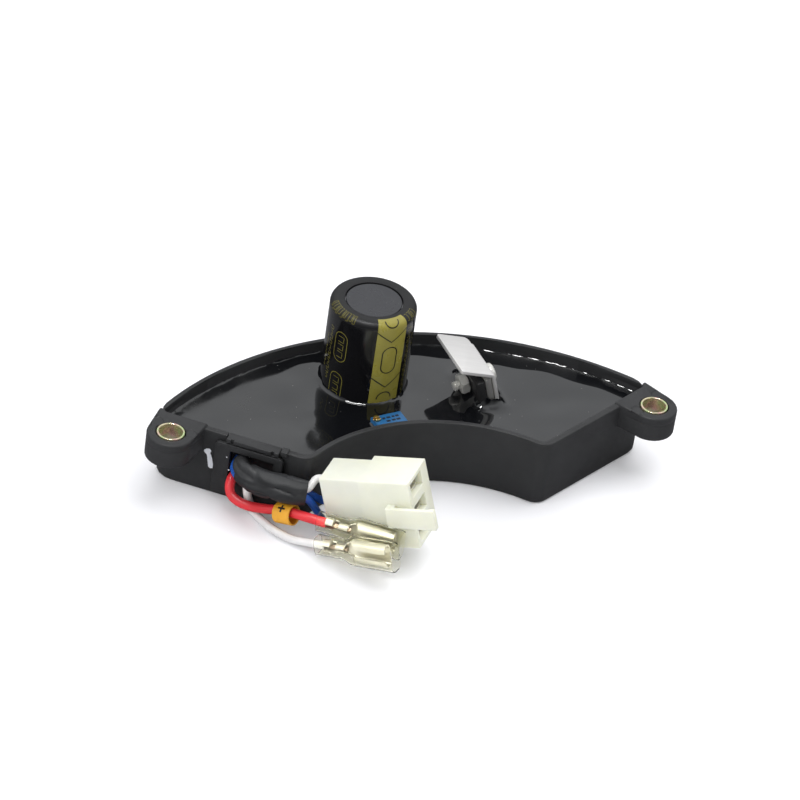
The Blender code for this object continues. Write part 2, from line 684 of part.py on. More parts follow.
def capacitor_skin(bore):
    """A thin tube whose top curls in over the shoulder, as far as the top disc."""
    inner_top = CAP_TOP - CAP_DISC_DEPTH - CAP_DISC
    turns = [radians(22.5 * step) for step in range(5)]
    shoulder = [
        (CAP_R - CAP_SHOULDER * (1 - cos(turn)), CAP_TOP - CAP_SHOULDER * (1 - sin(turn)))
        for turn in turns
    ]
    profile = [(bore, CAP_BASE), (CAP_R, CAP_BASE), *shoulder, (CAP_DISC_R, CAP_TOP)]
    profile += [(CAP_DISC_R, inner_top), (bore, inner_top)]
    return turned("capacitor_sleeve", profile, CAP_STEPS, tube=True)


# Trimmer

def make_trimmer(root, board, resin, paint):
    """A blue box on three pins. Its brass screw turns in a blind hole near one corner."""
    frame = make_empty("trimmer_frame", (TRIMMER_X, TRIMMER_Y, 0), (0, 0, TRIMMER_YAW), root)
    half_x, half_y = TRIMMER_LONG / 2, TRIMMER_WIDE / 2
    bottom = TRIMMER_TOP - TRIMMER_TALL
    low, high = (-half_x, -half_y, bottom), (half_x, half_y, TRIMMER_TOP)
    body = finish_object("trimmer_body", block("trimmer_body", low, high), paint["blue"], frame)
    cut(resin, grown_block("trimmer_room", low, (half_x, half_y, TRIMMER_TOP + THROUGH)), frame)
    axis_place = (SCREW_EDGE - half_x, half_y - SCREW_EDGE, TRIMMER_TOP)
    axis = make_empty("trimmer_screw_axis", axis_place, parent=frame)
    well = circle(SCREW_R + GAP / 2, 20)
    cut(body, prism("screw_well", well, -SCREW_DEEP - GAP, THROUGH), axis)
    stem = turned("trimmer_screw", ((SCREW_R, -SCREW_DEEP), (SCREW_R, SCREW_PROUD)), 20)
    screw = finish_object("trimmer_screw", stem, paint["brass"], axis)
    low = (-2 * SCREW_R, -SLOT_WIDE / 2, SCREW_PROUD - SLOT_DEEP)
    high = (2 * SCREW_R, SLOT_WIDE / 2, SCREW_PROUD + THROUGH)
    cut(screw, block("screw_slot", low, high), axis)
    make_trimmer_pins(frame, bottom, board, resin, paint["tinned"])


def make_trimmer_pins(frame, bottom, board, resin, tinned):
    half = TRIMMER_PIN / 2
    for number in range(3):
        name = f"trimmer_pin_{number + 1}"
        x = (number - 1) * TRIMMER_PIN_PITCH
        low = (x - half, -half, BOARD_BOTTOM - PIN_PAST_BOARD)
        high = (x + half, half, bottom - GAP)
        finish_object(name, block(name, low, high), tinned, frame)
        cut(board, grown_block(name + "_hole", low, high), frame)
    low = (-TRIMMER_PIN_PITCH - half, -half, BOARD_TOP)
    high = (TRIMMER_PIN_PITCH + half, half, bottom)
    cut(resin, grown_block("trimmer_pin_room", low, high), frame)


# Heat-sink bracket and power transistor, in one leaning frame: X out of the leg, Y along the bend

def bracket_profile():
    """The bent sheet seen along its bend: the outer faces up and over, then the inner faces back."""
    flange = Vector((-cos(pi / 2 - FLANGE_TURN), sin(pi / 2 - FLANGE_TURN)))
    outwards = Vector((cos(FLANGE_TURN), sin(FLANGE_TURN)))
    centre = (-BRACKET_BEND_R, -BEND_START)
    tip = flange * BRACKET_FLANGE
    inner_tip = tip - outwards * BRACKET_THICK
    outer = arc_points(centre, BRACKET_BEND_R, 0, FLANGE_TURN, FILLET_STEPS)
    inner = arc_points(centre, BRACKET_BEND_R - BRACKET_THICK, FLANGE_TURN, 0, FILLET_STEPS)
    feet = (0, -BRACKET_LEG), (-BRACKET_THICK, -BRACKET_LEG)
    return [feet[0], *outer, tuple(tip), tuple(inner_tip), *inner, feet[1]]


def make_bracket(root, resin, aluminium):
    """A bent sheet. The flange overhangs the leg at the back and has three round corners."""
    frame = make_empty(
        "bracket_frame", (BRACKET_X, BRACKET_Y, BRACKET_Z), (0, -BRACKET_LEAN, BRACKET_YAW), root,
    )
    rings = [[Vector((x, y, z)) for x, z in bracket_profile()] for y in (0, BRACKET_LONG)]
    bracket = finish_object("heat_sink_bracket", loft("heat_sink_bracket", rings), aluminium, frame)
    flange = make_empty("flange_frame", (0, 0, 0), (0, pi / 2 - FLANGE_TURN - pi, 0), frame)
    cut(bracket, prism("leg_trim", overhang_trim(), -THROUGH, BRACKET_LEG + THROUGH), flange)
    for name, side in (("front_trim", 1), ("back_trim", -1)):
        cut(bracket, prism(name, tip_trim(side), -THROUGH, THROUGH), flange)
    hole = lay_along_x(prism("bolt_hole", circle(BOLT_R + GAP, 20), -THROUGH, THROUGH))
    cut(bracket, hole, frame, (0, BOLT_Y, BOLT_HEIGHT))
    low = (-BRACKET_THICK, 0, -BRACKET_LEG)
    cut(resin, grown_block("leg_room", low, (0, CASE_WIDE, 0)), frame)
    return frame


def overhang_trim():
    """What is cut off behind the leg, in the flange's own frame, with the flange's corner left round."""
    radius = BRACKET_CORNER_R
    corner = arc_points((BEND_START + radius, BRACKET_LONG - radius), radius, pi, pi / 2, FILLET_STEPS)
    end = BRACKET_LONG + THROUGH
    return [
        (-BRACKET_LEG, CASE_WIDE), (BEND_START, CASE_WIDE), *corner,
        (BEND_START + radius, end), (-BRACKET_LEG, end),
    ]


def tip_trim(side):
    """What is cut off a free corner of the flange. Side 1 is the front corner, -1 the back one."""
    radius = BRACKET_CORNER_R / 2
    edge = 0 if side > 0 else BRACKET_LONG
    centre = (BRACKET_FLANGE - radius, edge + side * radius)
    corner = arc_points(centre, radius, -side * pi / 2, 0, FILLET_STEPS)
    past = (BRACKET_FLANGE + THROUGH, edge - side * THROUGH)
    return [*corner, (past[0], corner[-1][1]), past, (corner[0][0], past[1])]


def make_transistor(frame, board, resin, paint):
    """Moulded case and metal backplate, side by side on the leg, with three leads to the board."""
    plate = block(
        "transistor_backplate", (PLATE_FACE - PLATE_THICK, PLATE_MARGIN, CASE_FOOT + CASE_CHAMFER),
        (PLATE_FACE, CASE_WIDE - PLATE_MARGIN, CASE_TOP),
    )
    backplate = finish_object("transistor_backplate", plate, paint["tinned"], frame)
    case = finish_object("transistor_body", transistor_case(), paint["case"], frame)
    for piece in (backplate, case):
        hole = lay_along_x(prism("bolt_hole", circle(BOLT_R + GAP, 20), CASE_BACK - THROUGH, THROUGH))
        cut(piece, hole, frame, (0, BOLT_Y, BOLT_HEIGHT))
    low = (CASE_BACK, 0, CASE_FOOT)
    cut(resin, grown_block("case_room", low, (PLATE_FACE, CASE_WIDE, CASE_TOP)), frame)
    make_leads(frame, board, resin, paint["tinned"])


def transistor_case():
    """A chamfered slab: its outline in the leg's plane, smaller on the face that looks away."""
    levels = ((CASE_FACE, 0), (CASE_BACK + CASE_CHAMFER, 0), (CASE_BACK, CASE_CHAMFER))
    rings = []
    for x, inset in levels:
        sides = (inset, CASE_WIDE - inset)
        ends = (CASE_FOOT + inset, CASE_TOP - inset)
        corners = ((sides[0], ends[0]), (sides[1], ends[0]), (sides[1], ends[1]), (sides[0], ends[1]))
        rings.append([Vector((x, y, z)) for y, z in corners])
    return loft("transistor_body", rings)


def make_leads(frame, board, resin, tinned):
    """Flat leads that lean with the case and run through slots in the board."""
    x = (CASE_FACE + CASE_BACK) / 2
    under_board = BOARD_BOTTOM - PIN_PAST_BOARD
    foot = (under_board - BRACKET_Z - x * sin(BRACKET_LEAN)) / cos(BRACKET_LEAN)
    for number in range(3):
        name = f"transistor_lead_{number + 1}"
        y = CASE_WIDE / 2 + (number - 1) * LEAD_PITCH
        low = (x - LEAD_THICK / 2, y - LEAD_WIDE / 2, foot)
        high = (x + LEAD_THICK / 2, y + LEAD_WIDE / 2, CASE_FOOT - GAP)
        finish_object(name, block(name, low, high), tinned, frame)
        cut(board, grown_block(name + "_slot", low, high), frame)
    reach = LEAD_PITCH + LEAD_WIDE / 2
    low = (x - LEAD_THICK / 2, CASE_WIDE / 2 - reach, foot)
    high = (x + LEAD_THICK / 2, CASE_WIDE / 2 + reach, CASE_FOOT)
    cut(resin, grown_block("lead_room", low, high), frame)


def make_fastener(frame, steel):
    """A pan-head screw from outside the leg, and its nut on the case's side."""
    nut_face = CASE_BACK - GAP
    end = nut_face - NUT_THICK - BOLT_PAST_NUT
    head = GAP + BOLT_HEAD
    profile = (
        (BOLT_R, end), (BOLT_R, GAP), (BOLT_HEAD_R, GAP),
        (BOLT_HEAD_R, GAP + BOLT_HEAD_EDGE * BOLT_HEAD), (BOLT_HEAD_EDGE * BOLT_HEAD_R, head),
    )
    screw = lay_along_x(turned("bracket_screw", profile, 20))
    finish_object("bracket_screw", screw, steel, frame, (0, BOLT_Y, BOLT_HEIGHT))
    hexagon = circle(NUT_FLATS / sqrt(3), 6)
    nut_mesh = lay_along_x(prism("bracket_nut", hexagon, nut_face - NUT_THICK, nut_face))
    nut = finish_object("bracket_nut", nut_mesh, steel, frame, (0, BOLT_Y, BOLT_HEIGHT))
    bore = lay_along_x(prism("nut_bore", circle(BOLT_R + GAP, 20), end, THROUGH))
    cut(nut, bore, frame, (0, BOLT_Y, BOLT_HEIGHT))


# Connector and terminals

def upright_section(x, outline):
    """An outline of (y, z) pairs at one place along X."""
    return [Vector((x, y, z)) for y, z in outline]


def box_section(x, y_from, y_to, z_from, z_to, radius):
    middle = ((y_from + y_to) / 2, (z_from + z_to) / 2)
    return upright_section(x, rounded_rectangle(y_to - y_from, z_to - z_from, radius, middle, 2))


def make_connector(root, nylon):
    """Two-part housing outline, three through cavities and a latch arm on the viewer's side."""
    frame = make_empty(
        "connector_frame", (CONN_X, CONN_Y, CONN_Z), (0, -CONN_PITCH, CONN_YAW), root,
    )
    front = [box_section(x, 0, CONN_DEEP, -CONN_TALL, 0, CONN_ROUND) for x in (CONN_REAR, CONN_LONG)]
    rear = [
        box_section(
            x, CONN_STEP, CONN_DEEP - CONN_STEP_BACK,
            CONN_STEP_TOP - CONN_TALL, -CONN_STEP_TOP, CONN_ROUND,
        )
        for x in (0, CONN_REAR + CONN_OVERLAP)
    ]
    housing = finish_object("connector_housing", loft("connector_housing", front), nylon, frame)
    fuse(housing, loft("connector_rear", rear), frame)
    fuse(housing, latch_arm(), frame)
    for number in range(CAVITIES):
        middle = -CAVITY_FIRST - number * CAVITY_PITCH
        low = (-THROUGH, CAVITY_FROM, middle - CAVITY_TALL / 2)
        high = (CONN_LONG + THROUGH, CAVITY_FROM + CAVITY_WIDE, middle + CAVITY_TALL / 2)
        cut(housing, block("cavity", low, high), frame)
    return frame


def latch_arm():
    """A plate on a root block, with a hook at its free end, seen along the connector's tall side."""
    face = -LATCH_PROUD
    under = face + LATCH_THICK
    profile = (
        (LATCH_FROM, CAVITY_FROM / 2), (LATCH_FROM, face), (LATCH_TO, face),
        (LATCH_TO, under + LATCH_THICK / 2), (LATCH_TO - LATCH_THICK, under + LATCH_THICK / 2),
        (LATCH_TO - 1.5 * LATCH_THICK, under), (LATCH_FROM + LATCH_ROOT, under),
        (LATCH_FROM + LATCH_ROOT, CAVITY_FROM / 2),
    )
    return prism("latch_arm", profile, -LATCH_TOP - LATCH_WIDE, -LATCH_TOP)


def terminal_mesh():
    """A receptacle: sheet curled in at both edges, a neck and a crimped barrel, from the barrel's end."""
    name = "receptacle"
    wide, deep, mouth = BLADE_WIDE / 2, BLADE_DEEP / 2, BLADE_MOUTH / 2
    profile = (
        (METAL - wide, -deep), (wide - METAL, -deep), (wide, METAL - deep), (wide, deep - METAL),
        (wide - METAL, deep), (mouth, deep), (mouth, deep - METAL), (wide - METAL, deep - METAL),
        (wide - METAL, METAL - deep), (METAL - wide, METAL - deep), (METAL - wide, deep - METAL),
        (-mouth, deep - METAL), (-mouth, deep), (METAL - wide, deep), (-wide, deep - METAL),
        (-wide, METAL - deep),
    )
    blade_end = BARREL_LONG + BLADE_LONG
    blade = loft(name, [upright_section(x, profile) for x in (BARREL_LONG, blade_end)])
    barrel = loft(name, [upright_section(x, circle(BARREL_R, 12)) for x in (0, BARREL_LONG - METAL)])
    neck = block(
        name, (BARREL_LONG - 3 * METAL, -BARREL_R / 2, -deep + METAL / 4),
        (BARREL_LONG + 2 * METAL, BARREL_R / 2, METAL / 3),
    )
    return blade, barrel, neck


def make_terminal(name, metal, parent, location, turn=0.0):
    blade, barrel, neck = terminal_mesh()
    rotation = (turn, 0, 0)
    terminal = finish_object(name, blade, metal, parent, location, rotation)
    fuse(terminal, barrel, parent, location, rotation)
    fuse(terminal, neck, parent, location, rotation)


def terminal_start():
    """Where a connector terminal's barrel begins, along the connector."""
    return CONN_LONG - TERMINAL_IN - BLADE_LONG - BARREL_LONG


def cavity_centre(number):
    return CAVITY_FROM + CAVITY_WIDE / 2, -CAVITY_FIRST - number * CAVITY_PITCH


def make_connector_terminals(frame, brass):
    for number in range(CAVITIES):
        place = (terminal_start(), *cavity_centre(number))
        make_terminal(f"connector_terminal_{number + 1}", brass, frame, place)


def make_sleeve(name, pose, root, clear):
    """A clear boot: a narrow tail, a shoulder and a wide flat box, open at both ends."""
    place, yaw, pitch = pose
    frame = make_empty(
        name + "_frame", [value * MM for value in place], (0, -radians(pitch), radians(yaw)), root,
    )
    stations = (
        (0, SLEEVE_TAIL_TALL), (SLEEVE_TAIL, SLEEVE_TAIL_TALL),
        (SLEEVE_TAIL + SLEEVE_SHOULDER, SLEEVE_TALL), (SLEEVE_LONG, SLEEVE_TALL),
    )
    outer = [sleeve_section(x, tall, 0) for x, tall in stations]
    inner = [sleeve_section(x, tall, SLEEVE_WALL) for x, tall in reversed(stations)]
    title = "terminal_sleeve_" + name
    finish_object(title, loft(title, outer + inner, tube=True), clear, frame)
    return frame


def sleeve_section(x, tall, inset):
    radius = SLEEVE_CORNER_R if tall > SLEEVE_TAIL_TALL else SLEEVE_DEEP / 2 - SLEEVE_WALL / 2
    outline = rounded_rectangle(SLEEVE_DEEP - 2 * inset, tall - 2 * inset, radius - inset, steps=4)
    return upright_section(x, outline)


# Leads

def smooth_path(points, steps=10):
    """A centripetal Catmull-Rom curve through the points, as a fine polyline."""
    padded = [2 * points[0] - points[1], *points, 2 * points[-1] - points[-2]]
    path = [points[0]]
    for before, start, end, after in zip(padded, padded[1:], padded[2:], padded[3:]):
        steps_between = (start - before, end - start, after - end)
        first, middle, last = (sqrt(between.length) for between in steps_between)
        leave = end - start + middle * ((start - before) / first - (end - before) / (first + middle))
        arrive = end - start + middle * ((after - end) / last - (after - start) / (middle + last))
        for step in range(1, steps + 1):
            t = step / steps
            bend = (leave + arrive - 2 * (end - start)) * t ** 3
            rise = (3 * (end - start) - 2 * leave - arrive) * t ** 2
            path.append(bend + rise + leave * t + start)
    return path


def even_points(path, count, start=0.0, end=1.0):
    """Evenly spaced points between two shares of a polyline's length."""
    lengths = [0.0]
    for first, second in zip(path, path[1:]):
        lengths.append(lengths[-1] + (second - first).length)
    found = []
    for number in range(count):
        share = start + (end - start) * number / (count - 1)
        wanted = share * lengths[-1]
        index = max(i for i in range(len(path) - 1) if lengths[i] <= wanted + 1e-12)
        part = (wanted - lengths[index]) / (lengths[index + 1] - lengths[index])
        found.append(path[index].lerp(path[index + 1], part))
    return found


def route_points(route, side=0.0, up=0.0):
    """World places of a route given along, out from and above the left end wall, moved to one side."""
    points = []
    for index, (along, out, height) in enumerate(route):
        before = route[max(index - 1, 0)]
        after = route[min(index + 1, len(route) - 1)]
        step_along, step_out = after[0] - before[0], after[1] - before[1]
        size = hypot(step_along, step_out)
        along += side / MM * step_out / size
        out -= side / MM * step_along / size
        place = end_wall_point(along * MM, out * MM, -1)
        points.append(Vector((*place, height * MM * LEAD_SCALE + up)))
    return points


def make_lead(name, points, diameter, material, root):
    """A tube along a smooth curve through the points."""
    path = smooth_path(points)
    length = sum((second - first).length for first, second in zip(path, path[1:]))
    places = even_points(path, max(8, round(length / (1.6 * diameter)) + 1))
    curve = bpy.data.curves.new(name, "CURVE")
    curve.dimensions = "3D"
    curve.bevel_depth = diameter / 2
    curve.bevel_resolution = 2
    curve.use_fill_caps = True
    spline = curve.splines.new("POLY")
    spline.points.add(len(places) - 1)
    for point, place in zip(spline.points, places):
        point.co = (*place, 1.0)
    curve.materials.append(material)
    lead = bpy.data.objects.new(name, curve)
    lead.parent = root
    bpy.context.collection.objects.link(lead)


def in_frame(pose, along):
    """Places along the axis of a sleeve's frame."""
    place, yaw, pitch = pose
    turn = Euler((0, -radians(pitch), radians(yaw))).to_matrix()
    return [Vector(place) * MM + turn @ Vector((x, 0, 0)) for x in along]


def in_connector(number, along):
    """Places on the axis of one of the connector's cavities."""
    turn = Euler((0, -CONN_PITCH, CONN_YAW)).to_matrix()
    corner = Vector((CONN_X, CONN_Y, CONN_Z))
    return [corner + turn @ Vector((x, *cavity_centre(number))) for x in along]


def make_leads_out(root, paint):
    """The two loose leads and the three bundled ones, from the resin's face to their terminals."""
    make_lead("lead_red", red_places(), RED_D, paint["red"], root)
    white = route_points(WHITE_ROUTE) + in_frame(WHITE_SLEEVE, INTO_SLEEVE)
    make_lead("lead_white", white, WHITE_D, paint["white"], root)
    reach = BUNDLE_STEP / sqrt(3)
    into_cavity = (-3 * MM, 0, terminal_start() - GAP)
    for number, (name, colour) in enumerate(BUNDLE):
        turn = radians(90 + 120 * number)
        route = route_points(BUNDLE_ROUTE, reach * cos(turn), reach * sin(turn))
        make_lead(name, route + in_connector(number, into_cavity), BUNDLE_D, paint[colour], root)


def make_shrink(root, material):
    """Heat-shrink round the bundle: rings square to its path, outside then inside."""
    path = smooth_path(route_points(BUNDLE_ROUTE))
    count = len(SHRINK_RADII)
    centres = even_points(path, count, SHRINK_FROM, 1.0)
    outer, inner = [], []
    for index, centre in enumerate(centres):
        forward = (centres[min(index + 1, count - 1)] - centres[max(index - 1, 0)]).normalized()
        side = forward.cross(Vector((0, 0, 1))).normalized()
        up = side.cross(forward)
        for rings, radius in ((outer, SHRINK_RADII[index] * MM), (inner, SHRINK_BORE)):
            rings.append([centre + side * x + up * y for x, y in circle(radius, 16)])
    mesh = loft("heat_shrink_sleeve", outer + inner[::-1], tube=True)
    finish_object("heat_shrink_sleeve", mesh, material, root)


def red_places():
    return route_points(RED_ROUTE) + in_frame(RED_SLEEVE, INTO_SLEEVE)


def make_marker(root, yellow):
    """A loose ring that hangs on the red lead."""
    start, end = even_points(smooth_path(red_places()), 2, MARKER_FROM, MARKER_TO)
    forward = end - start
    half = forward.length / 2
    bore = MARKER_R - MARKER_WALL
    profile = ((bore, -half), (MARKER_R, -half), (MARKER_R, half), (bore, half))
    ring = lay_along_x(turned("polarity_marker", profile, 24, tube=True))
    place = (start + end) / 2 - Vector((0, 0, MARKER_DROP))
    turn = (0, -asin(forward.z / forward.length), atan2(forward.y, forward.x))
    finish_object("polarity_marker", ring, yellow, root, place, turn)


def make_paint():
    return {
        "plastic": make_material("black_housing", (0.028, 0.029, 0.031), 0.5),
        "gate": make_material("black_gate", (0.024, 0.025, 0.027), 0.45),
        "resin": make_material("black_resin", (0.006, 0.006, 0.008), 0.06),
        "zinc": make_material("yellow_zinc_steel", (0.62, 0.5, 0.24), 0.3, 1.0),
        "green": make_material("board_green", (0.03, 0.16, 0.07), 0.5),
        "ceramic": make_material("white_ceramic", (0.72, 0.7, 0.64), 0.7),
        "film": make_material("film_red", (0.4, 0.06, 0.03), 0.4),
        "case": make_material("moulded_black", (0.02, 0.02, 0.022), 0.4),
        "aluminium": make_material("bright_aluminium", (0.86, 0.86, 0.87), 0.35, 1.0),
        "skin": make_material("capacitor_skin", (0.012, 0.012, 0.014), 0.22),
        "disc": make_material("capacitor_disc", (0.035, 0.03, 0.045), 0.35),
        "tinned": make_material("tinned_metal", (0.72, 0.71, 0.68), 0.3, 1.0),
        "blue": make_material("trimmer_blue", (0.02, 0.16, 0.42), 0.35),
        "brass": make_material("brass", (0.75, 0.56, 0.26), 0.3, 1.0),
        "steel": make_material("zinc_steel", (0.7, 0.7, 0.7), 0.28, 1.0),
        "red": make_material("red_insulation", (0.62, 0.02, 0.02), 0.35),
        "white": make_material("white_insulation", (0.85, 0.84, 0.82), 0.4),
        "blue_wire": make_material("blue_insulation", (0.01, 0.09, 0.42), 0.35),
        "shrink": make_material("heat_shrink_grey", (0.05, 0.05, 0.055), 0.5),
        "yellow": make_material("marker_yellow", (0.85, 0.5, 0.03), 0.45),
        "nylon": make_material("natural_nylon", (0.82, 0.82, 0.72), 0.4),
        "clear": make_material("clear_pvc", (0.86, 0.86, 0.76), 0.15, 0.0, 0.4),
    }


def main():
    clear_scene()
    paint = make_paint()
    root = make_empty("regulator_origin", (0, -body_middle(), 0))
    make_tray(root, paint["plastic"])
    make_gate(root, paint["gate"])
    make_bushings(root, paint["zinc"])
    resin = make_resin(root, paint["resin"])
    board = make_board(root, paint["green"])
    make_buried_pieces(root, resin, paint)
    make_capacitor(root, board, paint)
    make_trimmer(root, board, resin, paint)
    bracket = make_bracket(root, resin, paint["aluminium"])
    make_transistor(bracket, board, resin, paint)
    make_fastener(bracket, paint["steel"])
    connector = make_connector(root, paint["nylon"])
    make_connector_terminals(connector, paint["brass"])
    for name, pose in (("red", RED_SLEEVE), ("white", WHITE_SLEEVE)):
        sleeve = make_sleeve(name, pose, root, paint["clear"])
        place = (WIRE_IN_SLEEVE + GAP, 0, 0)
        make_terminal("terminal_" + name, paint["brass"], sleeve, place, pi / 2)
    make_leads_out(root, paint)
    make_shrink(root, paint["shrink"])
    make_marker(root, paint["yellow"])


if __name__ == "__main__":
    main()
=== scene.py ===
"""Looks of an automatic voltage regulator: potted tray, capacitor, heat-sink bracket and leads.

Run as a script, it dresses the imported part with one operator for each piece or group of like
pieces. Places are in metres in the part's own frame. Lengths in the tables are millimetres.
"""

import json
from math import atan2, cos, exp, hypot, pi, radians, sin, sqrt

import bmesh
import bpy
from bpy.props import FloatProperty, FloatVectorProperty, PointerProperty
from mathutils import Euler, Matrix, Vector, geometry, noise

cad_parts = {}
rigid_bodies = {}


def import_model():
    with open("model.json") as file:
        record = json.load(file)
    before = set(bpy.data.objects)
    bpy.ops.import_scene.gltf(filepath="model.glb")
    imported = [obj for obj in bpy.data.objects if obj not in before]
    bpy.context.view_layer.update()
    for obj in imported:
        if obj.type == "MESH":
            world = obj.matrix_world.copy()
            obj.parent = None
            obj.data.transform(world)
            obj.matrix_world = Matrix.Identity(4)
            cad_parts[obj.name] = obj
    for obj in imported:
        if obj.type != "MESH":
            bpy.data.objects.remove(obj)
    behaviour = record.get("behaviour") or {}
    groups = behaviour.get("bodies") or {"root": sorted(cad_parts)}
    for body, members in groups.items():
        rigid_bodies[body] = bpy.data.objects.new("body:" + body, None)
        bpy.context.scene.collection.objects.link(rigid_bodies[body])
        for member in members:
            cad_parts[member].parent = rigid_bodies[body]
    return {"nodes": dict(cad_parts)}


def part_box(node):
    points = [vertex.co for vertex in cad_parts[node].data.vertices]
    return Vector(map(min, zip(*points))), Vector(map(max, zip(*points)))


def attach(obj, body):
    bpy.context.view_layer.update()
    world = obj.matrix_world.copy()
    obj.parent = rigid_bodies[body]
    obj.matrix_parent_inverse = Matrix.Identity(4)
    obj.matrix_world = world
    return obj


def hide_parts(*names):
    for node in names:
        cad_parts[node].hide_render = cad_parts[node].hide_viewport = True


bl_info = {
    "name": "Voltage regulator",
    "version": (1, 0, 0),
    "blender": (4, 5, 0),
    "location": "View3D > Sidebar > Regulator",
    "description": "Dresses a potted automatic voltage regulator with its finishes and leads",
    "category": "Object",
}

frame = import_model()
NODES = frame["nodes"]
BODY = "regulator"
MM = 0.001


def box_middle(node):
    low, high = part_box(node)
    return (low + high) / 2


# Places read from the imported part
BUSHING_LEFT = box_middle("lug_bushing_left")
HOLE_Y = BUSHING_LEFT.y
LUG_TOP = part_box("housing_tray")[1].z
RESIN_LOW, RESIN_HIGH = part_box("potting_resin")
CAP_LOW, CAP_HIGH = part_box("capacitor_sleeve")
CAP_CENTRE = (CAP_LOW + CAP_HIGH) / 2
CAP_R = (CAP_HIGH.x - CAP_LOW.x) / 2
DISC_LOW, DISC_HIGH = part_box("capacitor_top_disc")
DISC_R = (DISC_HIGH.x - DISC_LOW.x) / 2

# Camera of the photograph
CAMERA_PLACE = Vector((-343.244, -979.001, 781.032)) * MM
CAMERA_YAW = radians(-19.281)
CAMERA_ELEVATION = radians(36.341)
CAMERA_ROLL = radians(8.683)

# End wall that the leads leave through: slope, distance of its outer face from the hole line
END_SLOPE = radians(32.3)
END_DISTANCE = 31.75 * MM

# Bracket frame, connector frame and sleeve frames, as in the part's source
BRACKET_PLACE = Vector((25.2, 9.7, 28.3))
BRACKET_TURN = (0, radians(-16), radians(8.8))
BOLT_HEIGHT = -5.5 * MM
BOLT_SIDE = 7.8 * MM
NUT_FACE = -6.4 * MM
CONNECTOR_PLACE = Vector((-34.1, -22.7, 20.15))
CONNECTOR_TURN = (0, radians(-17.9), radians(-35.3))
CAVITY_SIDE = 5.6
CAVITY_FIRST = 3.5
CAVITY_PITCH = 7.1
TERMINAL_START = 5.2
SLEEVES = {
    "red": (Vector((-33.3, -26.5, 8.4)), (0, radians(-2.5), radians(-35.3))),
    "white": (Vector((-33.8, -30.7, 3.4)), (0, radians(-17.0), radians(-44.0))),
}
TERMINAL_IN_SLEEVE = 2.4
GATE_PROUD = 1.5
TRIMMER_YAW = radians(14)

# Leads: millimetres along the left end wall, out from it and up
RED_ROUTE = (
    (41.8, -1.9, 9.2), (41.9, 0.2, 9.2), (42.1, 2.4, 9.0), (41.9, 4.1, 7.5), (40.8, 5.3, 5.8),
    (38.4, 6.1, 4.9), (35.0, 6.5, 4.7), (31.4, 6.0, 4.8), (27.8, 5.7, 5.4), (24.6, 6.1, 6.3),
    (21.8, 7.2, 7.4),
)
WHITE_ROUTE = (
    (37.4, -1.9, 9.1), (37.4, 0.8, 9.2), (37.2, 2.9, 8.5), (36.7, 3.5, 6.2), (35.9, 3.4, 3.8),
    (34.7, 4.0, 1.8), (32.8, 5.4, 1.4), (30.5, 7.0, 1.4), (27.3, 8.9, 1.4), (23.8, 10.2, 1.4),
    (20.4, 11.0, 1.4),
)
BUNDLE_ROUTE = (
    (40.7, -1.9, 13.5), (40.7, 0.0, 13.5), (40.4, 2.2, 13.5), (39.0, 4.3, 13.6),
    (36.4, 5.5, 13.8), (33.0, 5.9, 13.9), (29.5, 5.9, 13.8), (26.0, 5.6, 13.6),
    (22.5, 5.0, 13.4), (19.6, 4.2, 13.2),
)
BUNDLE = ("lead_sense_white", "lead_blue_upper", "lead_blue_lower")
BUNDLE_STEP = 2.55
BUNDLE_TWIST = 30
INTO_SLEEVE = (-3.0, 0.0, 2.5)
INTO_CAVITY = (-3.0, 0.0, 4.9)
MARKER_SPAN = (0.60, 0.745)
MARKER_DROP = 0.65 * MM


# Settings that a user would change

class RegulatorStage(bpy.types.PropertyGroup):
    """Camera, light and floor"""
    lens: FloatProperty(name="Lens", description="Focal length of the camera", default=202.5, min=20.0)
    key_power: FloatProperty(
        name="Key light", description="Power of the large soft light overhead", default=7.4, unit="POWER",
    )
    glint_power: FloatProperty(
        name="Glint", description="Power of the narrow lamp that only glints", default=5.5, unit="POWER",
    )
    side_power: FloatProperty(
        name="Side light", description="Power of the soft light at the left", default=3.2, unit="POWER",
    )
    fill: FloatProperty(name="Fill", description="Strength of the even light all round", default=0.62)
    floor_colour: FloatVectorProperty(
        name="Floor", description="Colour of the floor", subtype="COLOR", default=(0.86, 0.86, 0.885),
    )


class RegulatorSizes(bpy.types.PropertyGroup):
    """Sizes of the dressed pieces"""
    red_wire: FloatProperty(
        name="Red lead", description="Diameter of the red lead", default=2.8 * MM, unit="LENGTH",
    )
    white_wire: FloatProperty(
        name="White lead", description="Diameter of the loose white lead", default=2.4 * MM, unit="LENGTH",
    )
    bundle_wire: FloatProperty(
        name="Bundled leads", description="Diameter of each wire in the bundle", default=2.2 * MM,
        unit="LENGTH",
    )
    edge: FloatProperty(
        name="Moulded edge", description="Rounding of the moulded edges", default=0.16 * MM, unit="LENGTH",
    )
    climb: FloatProperty(
        name="Resin climb", description="How far the resin creeps up a wall", default=0.9 * MM,
        unit="LENGTH",
    )
    wave: FloatProperty(
        name="Resin waves", description="Height of the slow waves in the resin", default=0.42 * MM,
        unit="LENGTH",
    )


